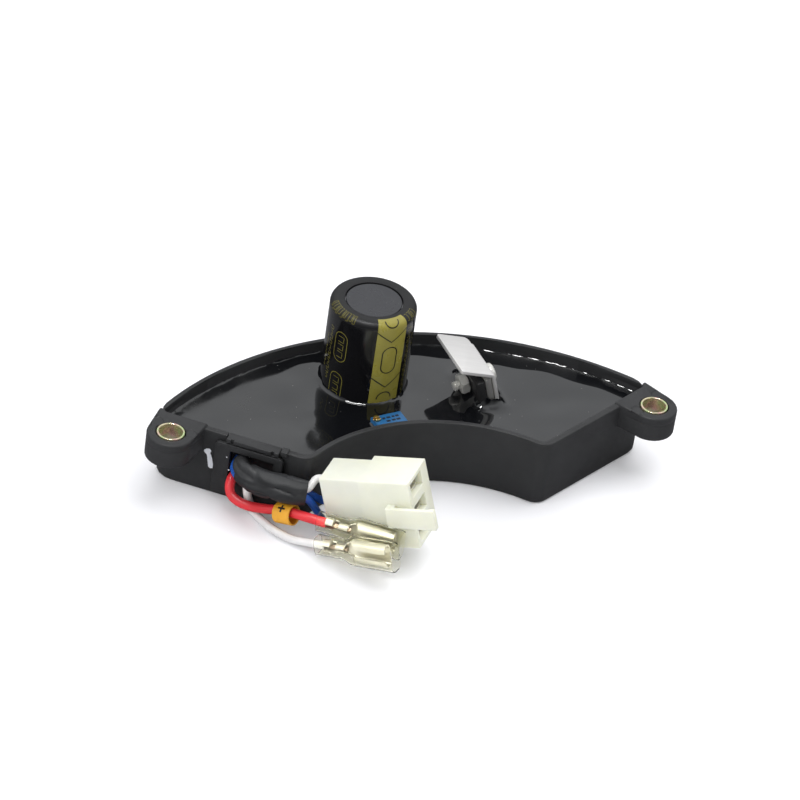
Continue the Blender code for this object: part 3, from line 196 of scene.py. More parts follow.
class RegulatorColours(bpy.types.PropertyGroup):
    """Colours of the finishes"""
    housing: FloatVectorProperty(
        name="Housing", description="Moulded housing and gate", subtype="COLOR",
        default=(0.0335, 0.0340, 0.0355),
    )
    resin: FloatVectorProperty(
        name="Resin", description="Potting resin", subtype="COLOR", default=(0.003, 0.0034, 0.0045),
    )
    red: FloatVectorProperty(
        name="Red", description="Red insulation", subtype="COLOR", default=(0.76, 0.030, 0.040),
    )
    white: FloatVectorProperty(
        name="White", description="White insulation", subtype="COLOR", default=(0.82, 0.81, 0.80),
    )
    blue: FloatVectorProperty(
        name="Blue", description="Blue insulation", subtype="COLOR", default=(0.008, 0.085, 0.42),
    )
    marker: FloatVectorProperty(
        name="Marker", description="Polarity marker", subtype="COLOR", default=(0.83, 0.40, 0.03),
    )
    nylon: FloatVectorProperty(
        name="Connector", description="Natural nylon", subtype="COLOR", default=(0.84, 0.845, 0.70),
    )
    gold: FloatVectorProperty(
        name="Print", description="Gold print on the capacitor", subtype="COLOR",
        default=(0.29, 0.255, 0.042),
    )


def settings():
    """The scene's stage, size and colour settings."""
    scene = bpy.context.scene
    return scene.regulator_stage, scene.regulator_sizes, scene.regulator_colours


# Shader building

def add_node(tree, kind, inputs=(), **facts):
    """A shader node with its facts, and its inputs given as values or as sockets to link."""
    made = tree.nodes.new(kind)
    for name, value in facts.items():
        setattr(made, name, value)
    for name, value in dict(inputs).items():
        socket = made.inputs[name]
        if isinstance(value, bpy.types.NodeSocket):
            tree.links.new(value, socket)
        else:
            socket.default_value = value
    return made


def sum_of(tree, operation, first, second=0.0, third=0.0, clamp=False):
    """One step of arithmetic in a shader."""
    inputs = {0: first, 1: second, 2: third}
    return add_node(tree, "ShaderNodeMath", inputs, operation=operation, use_clamp=clamp).outputs[0]


def smooth_range(tree, value, span, result):
    """Take a value smoothly from one range to another."""
    limits = {"Value": value, "From Min": span[0], "From Max": span[1], "To Min": result[0], "To Max": result[1]}
    return add_node(tree, "ShaderNodeMapRange", limits, interpolation_type="SMOOTHSTEP").outputs[0]


def mix_colours(tree, share, first, second):
    mixer = add_node(tree, "ShaderNodeMix", {0: share, 6: first, 7: second}, data_type="RGBA")
    return mixer.outputs[2]


def new_group(name, sockets_in, sockets_out):
    """An empty shader group with named sockets, its input node and its output node."""
    tree = bpy.data.node_groups.new(name, "ShaderNodeTree")
    for title, kind, value in sockets_in:
        socket = tree.interface.new_socket(title, in_out="INPUT", socket_type=kind)
        socket.default_value = value
    for title in sockets_out:
        tree.interface.new_socket(title, in_out="OUTPUT", socket_type="NodeSocketFloat")
    return tree, tree.nodes.new("NodeGroupInput"), tree.nodes.new("NodeGroupOutput")


def surface_grain():
    """Fine moulded or drawn grain and slow uneven tone."""
    found = bpy.data.node_groups.get("Surface grain")
    if found:
        return found
    tree, given, result = new_group(
        "Surface grain",
        (
            ("Scale", "NodeSocketFloat", 2500.0),
            ("Patch Scale", "NodeSocketFloat", 90.0),
            ("Stretch", "NodeSocketVector", (1.0, 1.0, 1.0)),
        ),
        ("Height", "Tone"),
    )
    place = add_node(tree, "ShaderNodeTexCoord").outputs["Object"]
    stretched = add_node(
        tree, "ShaderNodeVectorMath", {0: place, 1: given.outputs["Stretch"]}, operation="MULTIPLY",
    ).outputs[0]
    fine = add_node(
        tree, "ShaderNodeTexNoise",
        {"Vector": stretched, "Scale": given.outputs["Scale"], "Detail": 3.0, "Roughness": 0.6},
    )
    slow = add_node(
        tree, "ShaderNodeTexNoise",
        {"Vector": stretched, "Scale": given.outputs["Patch Scale"], "Detail": 5.0, "Roughness": 0.62},
    )
    tree.links.new(fine.outputs[0], result.inputs["Height"])
    contrast = add_node(
        tree, "ShaderNodeMapRange",
        {"Value": slow.outputs[0], "From Min": 0.32, "From Max": 0.68, "To Min": 0.0, "To Max": 1.0},
    )
    tree.links.new(contrast.outputs[0], result.inputs["Tone"])
    return tree


def settled_dust():
    """Dust specks and a thin film that lie on faces that look up."""
    found = bpy.data.node_groups.get("Settled dust")
    if found:
        return found
    tree, given, result = new_group(
        "Settled dust",
        (("Film", "NodeSocketFloat", 0.2), ("Specks", "NodeSocketFloat", 0.5)),
        ("Mask",),
    )
    place = add_node(tree, "ShaderNodeTexCoord").outputs["Object"]
    normal = add_node(tree, "ShaderNodeNewGeometry").outputs["Normal"]
    upward = add_node(tree, "ShaderNodeSeparateXYZ", {0: normal}).outputs["Z"]
    lying = sum_of(tree, "MULTIPLY_ADD", upward, 0.8, 0.2, clamp=True)
    cloud = add_node(
        tree, "ShaderNodeTexNoise", {"Vector": place, "Scale": 140.0, "Detail": 6.0, "Roughness": 0.7},
    )
    film = sum_of(tree, "MULTIPLY", cloud.outputs[0], given.outputs["Film"])
    grains = add_node(tree, "ShaderNodeTexVoronoi", {"Vector": place, "Scale": 900.0})
    speck = add_node(
        tree, "ShaderNodeMapRange",
        {"Value": grains.outputs["Distance"], "From Min": 0.05, "From Max": 0.12, "To Min": 1.0, "To Max": 0.0},
    )
    sparse = sum_of(tree, "GREATER_THAN", add_node(tree, "ShaderNodeSeparateColor", {0: grains.outputs["Color"]}).outputs[0], 0.93)
    specks = sum_of(tree, "MULTIPLY", sum_of(tree, "MULTIPLY", speck.outputs[0], sparse), given.outputs["Specks"])
    both = sum_of(tree, "ADD", film, specks, clamp=True)
    tree.links.new(sum_of(tree, "MULTIPLY", both, lying), result.inputs["Mask"])
    return tree


def place_group(tree, group, **inputs):
    values = {name.replace("_", " "): value for name, value in inputs.items()}
    node = tree.nodes.new("ShaderNodeGroup")
    node.node_tree = group
    for name, value in values.items():
        node.inputs[name].default_value = value
    return node.outputs


def make_finish(
    name, colour, roughness, metallic=0.0, grain=0.0, grain_scale=2500.0, patch_scale=90.0,
    stretch=(1.0, 1.0, 1.0), uneven=0.12, film=0.0, specks=0.0, spread=0.08, **fixed
):
    """A Principled finish with grain, uneven tone and dust. Fixed values go straight to its sockets."""
    found = bpy.data.materials.get(name)
    if found:
        return found
    material = bpy.data.materials.new(name)
    material.use_nodes = True
    tree = material.node_tree
    shader = tree.nodes["Principled BSDF"]
    shader.inputs["Metallic"].default_value = metallic
    for socket, value in fixed.items():
        shader.inputs[socket.replace("_", " ")].default_value = value
    surface = place_group(
        tree, surface_grain(), Scale=grain_scale, Patch_Scale=patch_scale, Stretch=stretch,
    )
    dark = tuple(value * (1 - 2 * uneven) for value in colour)
    tinted = mix_colours(tree, surface["Tone"], (*dark, 1.0), (*colour, 1.0))
    rough = sum_of(tree, "MULTIPLY_ADD", surface["Tone"], -spread, roughness + spread / 2)
    if film or specks:
        dust = place_group(tree, settled_dust(), Film=film, Specks=specks)["Mask"]
        tinted = mix_colours(tree, dust, tinted, (0.42, 0.41, 0.40, 1.0))
        rough = sum_of(tree, "MULTIPLY_ADD", dust, 0.5, rough, clamp=True)
    tree.links.new(tinted, shader.inputs["Base Color"])
    tree.links.new(rough, shader.inputs["Roughness"])
    if grain:
        bump = add_node(tree, "ShaderNodeBump", {"Height": surface["Height"], "Strength": 1.0, "Distance": grain})
        tree.links.new(bump.outputs[0], shader.inputs["Normal"])
    return material


# Finishes by name, so that like pieces share one

def moulded_black():
    colour = settings()[2].housing
    return make_finish(
        "housing_plastic", colour, 0.46, grain=0.018 * MM, grain_scale=3200.0, patch_scale=70.0,
        uneven=0.10, film=0.012, specks=0.3, Specular_IOR_Level=0.24,
    )


def gate_plastic():
    colour = tuple(0.9 * value for value in settings()[2].housing)
    return make_finish(
        "gate_plastic", colour, 0.42, grain=0.012 * MM, grain_scale=3600.0, film=0.01, specks=0.2,
        Specular_IOR_Level=0.26,
    )


def yellow_passivation():
    """Plated steel with a thin film that turns from gold to green and pink in patches."""
    material = make_finish(
        "yellow_passivation", (0.86, 0.76, 0.52), 0.24, metallic=0.8, grain=0.008 * MM,
        grain_scale=1200.0, patch_scale=420.0, uneven=0.18, spread=0.12,
    )
    tree = material.node_tree
    colour = tree.nodes["Principled BSDF"].inputs["Base Color"]
    place = add_node(tree, "ShaderNodeTexCoord").outputs["Object"]
    film = add_node(tree, "ShaderNodeTexNoise", {"Vector": place, "Scale": 330.0, "Detail": 1.0}).outputs["Fac"]
    tinted = mix_colours(
        tree, smooth_range(tree, film, (0.52, 0.64), (0.0, 0.8)), colour.links[0].from_socket,
        (0.86, 0.52, 0.50, 1.0),
    )
    tinted = mix_colours(
        tree, smooth_range(tree, film, (0.48, 0.36), (0.0, 0.8)), tinted, (0.55, 0.70, 0.34, 1.0),
    )
    tree.links.new(tinted, colour)
    return material


def bright_zinc():
    return make_finish(
        "bright_zinc", (0.88, 0.87, 0.82), 0.34, metallic=0.55, grain=0.006 * MM, grain_scale=1800.0,
        uneven=0.10, spread=0.12,
    )


def tinned():
    return make_finish(
        "tinned_metal", (0.84, 0.83, 0.76), 0.36, metallic=0.55, grain=0.006 * MM, uneven=0.10,
    )


def receptacle_brass():
    return make_finish(
        "tinned_brass", (0.80, 0.78, 0.69), 0.36, metallic=0.75, grain=0.006 * MM, grain_scale=1500.0,
        uneven=0.08, spread=0.10,
    )


def insulation(name, colour):
    return make_finish(
        name, colour, 0.36, grain=0.008 * MM, grain_scale=1300.0, patch_scale=160.0, uneven=0.05,
        film=0.02, specks=0.0, Coat_Weight=0.15, Coat_Roughness=0.25,
    )


# Mesh building

def loft(rings, tube=False, caps=True):
    """A closed mesh through rings of equally many points. A tube joins its last ring to its first."""
    shape = bmesh.new()
    loops = [[shape.verts.new(point) for point in ring] for ring in rings]
    pairs = list(zip(loops, loops[1:]))
    if tube:
        pairs.append((loops[-1], loops[0]))
    elif caps:
        shape.faces.new(loops[0])
        shape.faces.new(loops[-1])
    for lower, upper in pairs:
        for index in range(len(lower)):
            after = (index + 1) % len(lower)
            shape.faces.new((lower[index], lower[after], upper[after], upper[index]))
    bmesh.ops.recalc_face_normals(shape, faces=shape.faces)
    return shape


def circle(radius, steps, centre=(0.0, 0.0)):
    turns = [2 * pi * step / steps for step in range(steps)]
    return [(centre[0] + radius * cos(turn), centre[1] + radius * sin(turn)) for turn in turns]


def turned(profile, steps=64, tube=False, caps=True):
    """Revolves (radius, height) pairs about Z."""
    rings = [[Vector((x, y, height)) for x, y in circle(radius, steps)] for radius, height in profile]
    return loft(rings, tube, caps)


def rounded_rectangle(width, depth, radius, steps=6):
    points = []
    for quarter, (side_x, side_y) in enumerate(((1, 1), (-1, 1), (-1, -1), (1, -1))):
        corner = (side_x * (width / 2 - radius), side_y * (depth / 2 - radius))
        for step in range(steps + 1):
            turn = (quarter + step / steps) * pi / 2
            points.append((corner[0] + radius * cos(turn), corner[1] + radius * sin(turn)))
    return points


def finish_piece(name, shape, material, matrix=None, replaces=(), sharp=35.0, body=BODY):
    """Turns a bmesh into a shown piece that rides on its body."""
    mesh = bpy.data.meshes.new(name)
    shape.to_mesh(mesh)
    shape.free()
    mesh.materials.append(material)
    mesh.shade_smooth()
    mesh.set_sharp_from_angle(angle=radians(sharp))
    piece = bpy.data.objects.new(name, mesh)
    bpy.context.scene.collection.objects.link(piece)
    if matrix is not None:
        piece.matrix_world = matrix
    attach(piece, body)
    if replaces:
        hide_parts(*replaces)
    return piece


def node_shape(node):
    """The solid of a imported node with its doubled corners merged."""
    shape = bmesh.new()
    shape.from_mesh(NODES[node].data)
    bmesh.ops.remove_doubles(shape, verts=shape.verts, dist=1e-6)
    return shape


def round_edges(shape, width, segments=2, angle=28.0):
    """Rounds every edge that turns by more than the angle."""
    sharp = [
        edge for edge in shape.edges
        if len(edge.link_faces) == 2 and edge.calc_face_angle(0.0) > radians(angle)
    ]
    bmesh.ops.bevel(
        shape, geom=sharp, offset=width, offset_type="OFFSET", segments=segments, profile=0.5,
        affect="EDGES", clamp_overlap=False, miter_outer="SHARP", miter_inner="SHARP",
    )
    return shape


def dress_node(node, material, width=None, matrix=None, body=BODY, segments=2):
    """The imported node's own solid with rounded edges, shown in its place."""
    shape = node_shape(node)
    if width:
        round_edges(shape, width, segments)
    if matrix is not None:
        bmesh.ops.transform(shape, matrix=matrix.inverted(), verts=shape.verts)
    return finish_piece(node + "_dressed", shape, material, matrix, (node,), body=body)


def frame_matrix(place, turn):
    """A frame given by its place in millimetres from the hole line and its turn."""
    return Matrix.Translation(Vector((0, HOLE_Y, 0)) + place * MM) @ Euler(turn).to_matrix().to_4x4()


# Routes

def end_wall_point(along, out):
    reach = END_DISTANCE + out
    x = cos(END_SLOPE) * along + sin(END_SLOPE) * reach
    return Vector((-x, sin(END_SLOPE) * along - cos(END_SLOPE) * reach + HOLE_Y, 0))


def route_points(route, side=0.0, up=0.0):
    """Places of a route along, out from and above the left end wall, moved to one side."""
    points = []
    for index, (along, out, height) in enumerate(route):
        before = route[max(index - 1, 0)]
        after = route[min(index + 1, len(route) - 1)]
        step_along, step_out = after[0] - before[0], after[1] - before[1]
        size = hypot(step_along, step_out)
        along += side * step_out / size
        out -= side * step_along / size
        points.append(end_wall_point(along * MM, out * MM) + Vector((0, 0, (height + up) * MM)))
    return points


def smooth_path(points, steps=10):
    """A centripetal Catmull-Rom curve through the points, as a fine polyline."""
    padded = [2 * points[0] - points[1], *points, 2 * points[-1] - points[-2]]
    path = [points[0]]
    for before, start, end, after in zip(padded, padded[1:], padded[2:], padded[3:]):
        first, middle, last = (sqrt((b - a).length) for a, b in ((before, start), (start, end), (end, after)))
        leave = end - start + middle * ((start - before) / first - (end - before) / (first + middle))
        arrive = end - start + middle * ((after - end) / last - (after - start) / (middle + last))
        for step in range(1, steps + 1):
            t = step / steps
            bend = (leave + arrive - 2 * (end - start)) * t ** 3
            rise = (3 * (end - start) - 2 * leave - arrive) * t ** 2
            path.append(bend + rise + leave * t + start)
    return path


def even_points(path, count, start=0.0, end=1.0):
    """Evenly spaced points between two shares of a polyline's length."""
    lengths = [0.0]
    for first, second in zip(path, path[1:]):
        lengths.append(lengths[-1] + (second - first).length)
    found = []
    for number in range(count):
        wanted = (start + (end - start) * number / (count - 1)) * lengths[-1]
        index = max(i for i in range(len(path) - 1) if lengths[i] <= wanted + 1e-12)
        part = (wanted - lengths[index]) / (lengths[index + 1] - lengths[index])
        found.append(path[index].lerp(path[index + 1], part))
    return found


def path_frames(points):
    """Side and up directions along a path, square to it."""
    frames = []
    last = len(points) - 1
    for index in range(len(points)):
        forward = (points[min(index + 1, last)] - points[max(index - 1, 0)]).normalized()
        side = forward.cross(Vector((0, 0, 1))).normalized()
        frames.append((side, side.cross(forward)))
    return frames


def in_frame(matrix, places):
    return [matrix @ (Vector(place) * MM) for place in places]


def red_path():
    sleeve = frame_matrix(*SLEEVES["red"])
    return smooth_path(route_points(RED_ROUTE) + in_frame(sleeve, [(x, 0, 0) for x in INTO_SLEEVE]))


def white_path():
    sleeve = frame_matrix(*SLEEVES["white"])
    return smooth_path(route_points(WHITE_ROUTE) + in_frame(sleeve, [(x, 0, 0) for x in INTO_SLEEVE]))


def bundle_path(number):
    """The route of one wire of the bundle, which turns a little on its way out of the gate."""
    reach = BUNDLE_STEP / sqrt(3)
    points = []
    for index in range(len(BUNDLE_ROUTE)):
        turn = radians(90 + 120 * number + BUNDLE_TWIST * max(0.0, 1 - index / 4))
        points.append(route_points(BUNDLE_ROUTE, reach * cos(turn), reach * sin(turn))[index])
    connector = frame_matrix(CONNECTOR_PLACE, CONNECTOR_TURN)
    cavity = [(x, CAVITY_SIDE, -CAVITY_FIRST - number * CAVITY_PITCH) for x in INTO_CAVITY]
    return smooth_path(points + in_frame(connector, cavity))


# Stage

def make_camera(scene, stage):
    data = bpy.data.cameras.new("photo_camera")
    data.lens = stage.lens
    data.sensor_width = 36.0
    data.clip_start = 0.05
    data.clip_end = 20.0
    camera = bpy.data.objects.new("photo_camera", data)
    scene.collection.objects.link(camera)
    back = Vector((
        sin(CAMERA_YAW) * cos(CAMERA_ELEVATION), -cos(CAMERA_YAW) * cos(CAMERA_ELEVATION), sin(CAMERA_ELEVATION),
    ))
    level = Vector((cos(CAMERA_YAW), sin(CAMERA_YAW), 0))
    right = cos(CAMERA_ROLL) * level + sin(CAMERA_ROLL) * back.cross(level)
    axes = Matrix((right, back.cross(right), back)).transposed()
    camera.matrix_world = Matrix.Translation(CAMERA_PLACE) @ axes.to_4x4()
    scene.camera = camera


def make_light(name, place, size, power, glint=False, aim=Vector((0, 0, 0.02))):
    """A lamp that looks at the object. Soft lamps stay out of mirrors, and a glint is seen only there."""
    data = bpy.data.lights.new(name, "AREA")
    data.shape = "RECTANGLE"
    data.size, data.size_y = size
    data.energy = power
    light = bpy.data.objects.new(name, data)
    light.location = place
    light.visible_glossy = glint
    light.visible_diffuse = not glint
    light.rotation_euler = (aim - Vector(place)).to_track_quat("-Z", "Y").to_euler()
    bpy.context.scene.collection.objects.link(light)


def seen_directly(tree):
    """Two masks: where the camera or glass looks at the backdrop, and where a mirror looks at it."""
    rays = tree.nodes.new("ShaderNodeLightPath").outputs
    direct = sum_of(tree, "MAXIMUM", rays["Is Camera Ray"], rays["Is Transmission Ray"])
    return direct, sum_of(tree, "SUBTRACT", rays["Is Glossy Ray"], rays["Is Transmission Ray"], clamp=True)


def make_world(scene, stage):
    world = bpy.data.worlds.new("studio")
    world.use_nodes = True
    tree = world.node_tree
    tree.nodes.clear()
    even = add_node(tree, "ShaderNodeBackground", {"Color": (0.97, 0.98, 1.0, 1.0), "Strength": stage.fill})
    pale = add_node(tree, "ShaderNodeBackground", {"Color": (1.0, 1.0, 1.0, 1.0), "Strength": 1.0})
    direct, mirrored = seen_directly(tree)
    toward = add_node(tree, "ShaderNodeTexCoord").outputs["Generated"]
    upward = add_node(tree, "ShaderNodeSeparateXYZ", {0: toward}).outputs["Z"]
    forward = add_node(tree, "ShaderNodeVectorMath", {0: toward, 1: (-0.33, -0.94, 0.0)}, operation="DOT_PRODUCT")
    dome = smooth_range(tree, upward, (0.02, 0.50), (0.16, 0.98))
    dome = sum_of(tree, "MULTIPLY", dome, smooth_range(tree, upward, (0.86, 0.97), (1.0, 0.25)))
    dome = sum_of(tree, "MULTIPLY", dome, smooth_range(tree, forward.outputs["Value"], (0.15, 0.6), (1.0, 0.35)))
    overhead = add_node(tree, "ShaderNodeBackground", {"Color": (0.96, 0.98, 1.0, 1.0), "Strength": dome})
    mixed = add_node(tree, "ShaderNodeMixShader", {0: mirrored, 1: even.outputs[0], 2: overhead.outputs[0]})
    mixed = add_node(tree, "ShaderNodeMixShader", {0: direct, 1: mixed.outputs[0], 2: pale.outputs[0]})
    result = tree.nodes.new("ShaderNodeOutputWorld")
    tree.links.new(mixed.outputs[0], result.inputs["Surface"])
    scene.world = world


def make_floor(stage):
    """A wide pale floor that keeps the shadows and looks near white to the camera."""
    material = bpy.data.materials.new("floor")
    material.use_nodes = True
    tree = material.node_tree
    shader = tree.nodes["Principled BSDF"]
    direct, mirrored = seen_directly(tree)
    tinted = mix_colours(tree, mirrored, (*stage.floor_colour, 1.0), (0.20, 0.20, 0.21, 1.0))
    tree.links.new(tinted, shader.inputs["Base Color"])
    shader.inputs["Roughness"].default_value = 0.55
    shader.inputs["Emission Color"].default_value = (1.0, 1.0, 1.0, 1.0)
    lift = sum_of(tree, "MULTIPLY", direct, 0.12)
    tree.links.new(lift, shader.inputs["Emission Strength"])
    shape = bmesh.new()
    bmesh.ops.create_circle(shape, cap_ends=True, radius=4.0, segments=96)
    mesh = bpy.data.meshes.new("floor")
    shape.to_mesh(mesh)
    shape.free()
    mesh.materials.append(material)
    floor = bpy.data.objects.new("floor", mesh)
    floor.location = (0, 0, -0.05 * MM)
    bpy.context.scene.collection.objects.link(floor)


# Leads

def make_lead(name, path, diameter, material):
    """A round wire along its path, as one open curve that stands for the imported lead."""
    places = even_points(path, 110)
    curve = bpy.data.curves.new(name + "_wire", "CURVE")
    curve.dimensions = "3D"
    curve.bevel_depth = diameter / 2
    curve.bevel_resolution = 6
    curve.use_fill_caps = True
    spline = curve.splines.new("POLY")
    spline.points.add(len(places) - 1)
    spline.use_smooth = True
    for point, place in zip(spline.points, places):
        point.co = (*place, 1.0)
    curve.materials.append(material)
    wire = bpy.data.objects.new(name + "_wire", curve)
    bpy.context.scene.collection.objects.link(wire)
    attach(wire, BODY)
    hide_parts(name)
    return wire


# Housing

def scribe_parting_line(shape):
    """A fine groove round each lug where the two halves of the mould meet."""
    height = LUG_TOP - 2.45 * MM
    depth = 0.07 * MM
    for step in (-0.10, 0.0, 0.10):
        faces = [face for face in shape.faces if abs(face.calc_center_median().x) > 57 * MM]
        edges = {edge for face in faces for edge in face.edges}
        verts = {vert for face in faces for vert in face.verts}
        bmesh.ops.bisect_plane(
            shape, geom=[*verts, *edges, *faces], dist=1e-7,
            plane_co=(0, 0, height + step * MM), plane_no=(0, 0, 1),
        )
    shape.normal_update()
    for vert in shape.verts:
        on_line = abs(vert.co.z - height) < 0.02 * MM
        if on_line and abs(vert.co.x) > 63 * MM and abs(vert.normal.z) < 0.3:
            vert.co -= Vector((vert.normal.x, vert.normal.y, 0)).normalized() * depth


# Resin

def boundary_loops(shape, height):
    """Closed outlines of the faces that lie at one height."""
    flat = {face for face in shape.faces if all(abs(vert.co.z - height) < 1e-6 for vert in face.verts)}
    rim = {edge for face in flat for edge in face.edges if sum(f in flat for f in edge.link_faces) == 1}
    loops = []
    while rim:
        edge = rim.pop()
        start, vert = edge.verts
        loop = [start, vert]
        while True:
            following = next((e for e in vert.link_edges if e in rim), None)
            if following is None:
                break
            rim.discard(following)
            vert = following.other_vert(vert)
            if vert is start:
                break
            loop.append(vert)
        loops.append([Vector((v.co.x, v.co.y)) for v in loop])
    return loops


def loop_area(loop):
    return sum(a.x * b.y - b.x * a.y for a, b in zip(loop, loop[1:] + loop[:1])) / 2


def divide_loop(loop, step):
    """The outline with points no further apart than the step."""
    found = []
    for start, end in zip(loop, loop[1:] + loop[:1]):
        count = max(1, round((end - start).length / step))
        found += [start.lerp(end, number / count) for number in range(count)]
    return found


def move_loop(loop, distance):
    """The outline moved to its left, which is inwards for one that runs anticlockwise."""
    moved = []
    for index, point in enumerate(loop):
        before = (point - loop[index - 1]).normalized()
        after = (loop[(index + 1) % len(loop)] - point).normalized()
        left = Vector((-before.y - after.y, before.x + after.x))
        left = left.normalized() if left.length > 1e-6 else Vector((-before.y, before.x))
        lean = max(0.5, left.dot(Vector((-before.y, before.x))))
        moved.append(point + left * distance / lean)
    return moved


def distance_to_loop(point, loop):
    best = 1e9
    for start, end in zip(loop, loop[1:] + loop[:1]):
        step = end - start
        share = max(0.0, min(1.0, (point - start).dot(step) / max(step.length_squared, 1e-18)))
        best = min(best, (point - start - step * share).length)
    return best


def inside_loop(point, loop):
    inside = False
    for start, end in zip(loop, loop[1:] + loop[:1]):
        if (start.y > point.y) != (end.y > point.y):
            x = start.x + (point.y - start.y) / (end.y - start.y) * (end.x - start.x)
            inside ^= x > point.x
    return inside


def resin_height(point, walls, wave, climb):
    """Height of the cured surface above its level: slow waves, a creep up each wall and a dimple."""
    x, y = point.x / MM, point.y / MM
    height = wave * noise.noise(Vector((x / 17, y / 13, 1.7)))
    height += 0.26 * wave * noise.noise(Vector((x / 7.5, y / 7.5, 8.1)))
    ripple = 0.2 * MM * exp(-((x + 25) ** 2 + (y + 12) ** 2) / 90)
    height += ripple * noise.noise(Vector((x / 3.6, y / 3.6, 5.2)))
    dimple = hypot(x + 27.2, y - 13.4 - HOLE_Y / MM)
    height += 0.05 * MM * exp(-((dimple - 2.1) / 0.5) ** 2) - 0.04 * MM * exp(-(dimple / 1.5) ** 2)
    for loop, share, reach in walls:
        near = distance_to_loop(point, loop)
        if near < 6 * reach:
            uneven = 1 + 0.9 * noise.noise(Vector((x / 3.1, y / 3.1, 3.3)))
            uneven += 0.5 * noise.noise(Vector((x / 1.3, y / 1.3, 6.1)))
            height += climb * share * max(0.1, uneven) * exp(-near / reach)
    return height


def make_resin(sizes, material):
    """The resin as a closed body whose top is a height field with a raised edge at each wall."""
    solid = node_shape("potting_resin")
    loops = sorted(boundary_loops(solid, RESIN_HIGH.z), key=lambda loop: -abs(loop_area(loop)))
    solid.free()
    outlines = []
    for number, loop in enumerate(loops):
        wanted = 1 if number == 0 else -1
        if loop_area(loop) * wanted < 0:
            loop = loop[::-1]
        loop = divide_loop(loop, 0.9 * MM)
        outlines.append(move_loop(loop, -0.28 * MM))
    shares = []
    for number, outline in enumerate(outlines):
        middle = sum(outline, Vector((0, 0))) / len(outline)
        if number == 0:
            shares.append((0.45, 0.5 * MM))
        elif (middle - CAP_CENTRE.xy).length < 2 * MM:
            shares.append((0.75, 0.38 * MM))
        elif middle.x > 10 * MM:
            shares.append((2.6, 0.9 * MM))
        else:
            shares.append((0.5, 0.4 * MM))
    walls = [(outline, *share) for outline, share in zip(outlines, shares)]
    points, edges = [], []
    for outline in outlines:
        first = len(points)
        points += outline
        count = len(outline)
        edges += [(first + i, first + (i + 1) % count) for i in range(count)]
        for inset in (0.15, 0.35, 0.65, 1.05):
            points += [
                p for p in move_loop(outline, inset * MM)
                if min(distance_to_loop(p, other) for other in outlines) > 0.9 * inset * MM
            ]
    pitch = 1.5 * MM
    for column in range(int((RESIN_HIGH.x - RESIN_LOW.x) / pitch) + 1):
        for row in range(int((RESIN_HIGH.y - RESIN_LOW.y) / pitch) + 1):
            place = Vector((
                RESIN_LOW.x + (column + 0.5 * (row % 2)) * pitch, RESIN_LOW.y + row * pitch,
            ))
            if not inside_loop(place, outlines[0]) or any(inside_loop(place, o) for o in outlines[1:]):
                continue
            if min(distance_to_loop(place, other) for other in outlines) > 1.6 * MM:
                points.append(place)
    found = geometry.delaunay_2d_cdt(points, edges, [], 0, 1e-7)
    flat, faces = found[0], found[2]
    shape = bmesh.new()
    top, bottom = [], []
    for point in flat:
        height = resin_height(point, walls, sizes.wave, sizes.climb)
        top.append(shape.verts.new((*point, RESIN_HIGH.z + height)))
        bottom.append(shape.verts.new((*point, RESIN_LOW.z)))
    for face in faces:
        middle = sum((flat[i] for i in face), Vector((0, 0))) / len(face)
        if not inside_loop(middle, outlines[0]) or any(inside_loop(middle, o) for o in outlines[1:]):
            continue
        shape.faces.new([top[i] for i in face])
        shape.faces.new([bottom[i] for i in reversed(face)])
    twin = {vert: bottom[index] for index, vert in enumerate(top)}
    for edge in [e for e in shape.edges if len(e.link_faces) == 1 and e.verts[0] in twin]:
        a, b = edge.verts
        shape.faces.new((a, b, twin[b], twin[a]))
    loose = [vert for vert in shape.verts if not vert.link_faces]
    bmesh.ops.delete(shape, geom=loose, context="VERTS")
    bmesh.ops.recalc_face_normals(shape, faces=shape.faces)
    return finish_piece("resin_surface", shape, material, None, ("potting_resin",), sharp=60.0)


def resin_finish():
    colour = settings()[2].resin
    material = bpy.data.materials.new("potting_black")
    material.use_nodes = True
    tree = material.node_tree
    shader = tree.nodes["Principled BSDF"]
    shader.inputs["IOR"].default_value = 1.72
    surface = place_group(tree, surface_grain(), Scale=900.0, Patch_Scale=60.0)
    dust = place_group(tree, settled_dust(), Film=0.004, Specks=0.6)["Mask"]
    place = add_node(tree, "ShaderNodeTexCoord").outputs["Object"]
    across = add_node(tree, "ShaderNodeSeparateXYZ", {0: place}).outputs["X"]
    left = add_node(
        tree, "ShaderNodeMapRange",
        {"Value": across, "From Min": -0.018, "From Max": -0.046, "To Min": 0.0, "To Max": 1.0},
        interpolation_type="SMOOTHSTEP",
    ).outputs[0]
    matt = sum_of(tree, "MULTIPLY", left, surface["Tone"])
    tinted = mix_colours(tree, dust, (*colour, 1.0), (0.36, 0.35, 0.33, 1.0))
    hazed = mix_colours(tree, sum_of(tree, "MULTIPLY", matt, 0.05), tinted, (0.16, 0.155, 0.14, 1.0))
    tree.links.new(hazed, shader.inputs["Base Color"])
    facing = add_node(tree, "ShaderNodeSeparateXYZ", {0: add_node(tree, "ShaderNodeNewGeometry").outputs["Normal"]})
    side = smooth_range(tree, facing.outputs["Z"], (0.1, 0.02), (0.035, 0.6))
    rough = sum_of(tree, "MULTIPLY_ADD", matt, 0.28, side)
    tree.links.new(sum_of(tree, "MULTIPLY_ADD", dust, 0.5, rough, clamp=True), shader.inputs["Roughness"])
    return material


# Capacitor

SHOULDER = 2.1
SKIN_TOP = CAP_HIGH.z / MM - 0.08


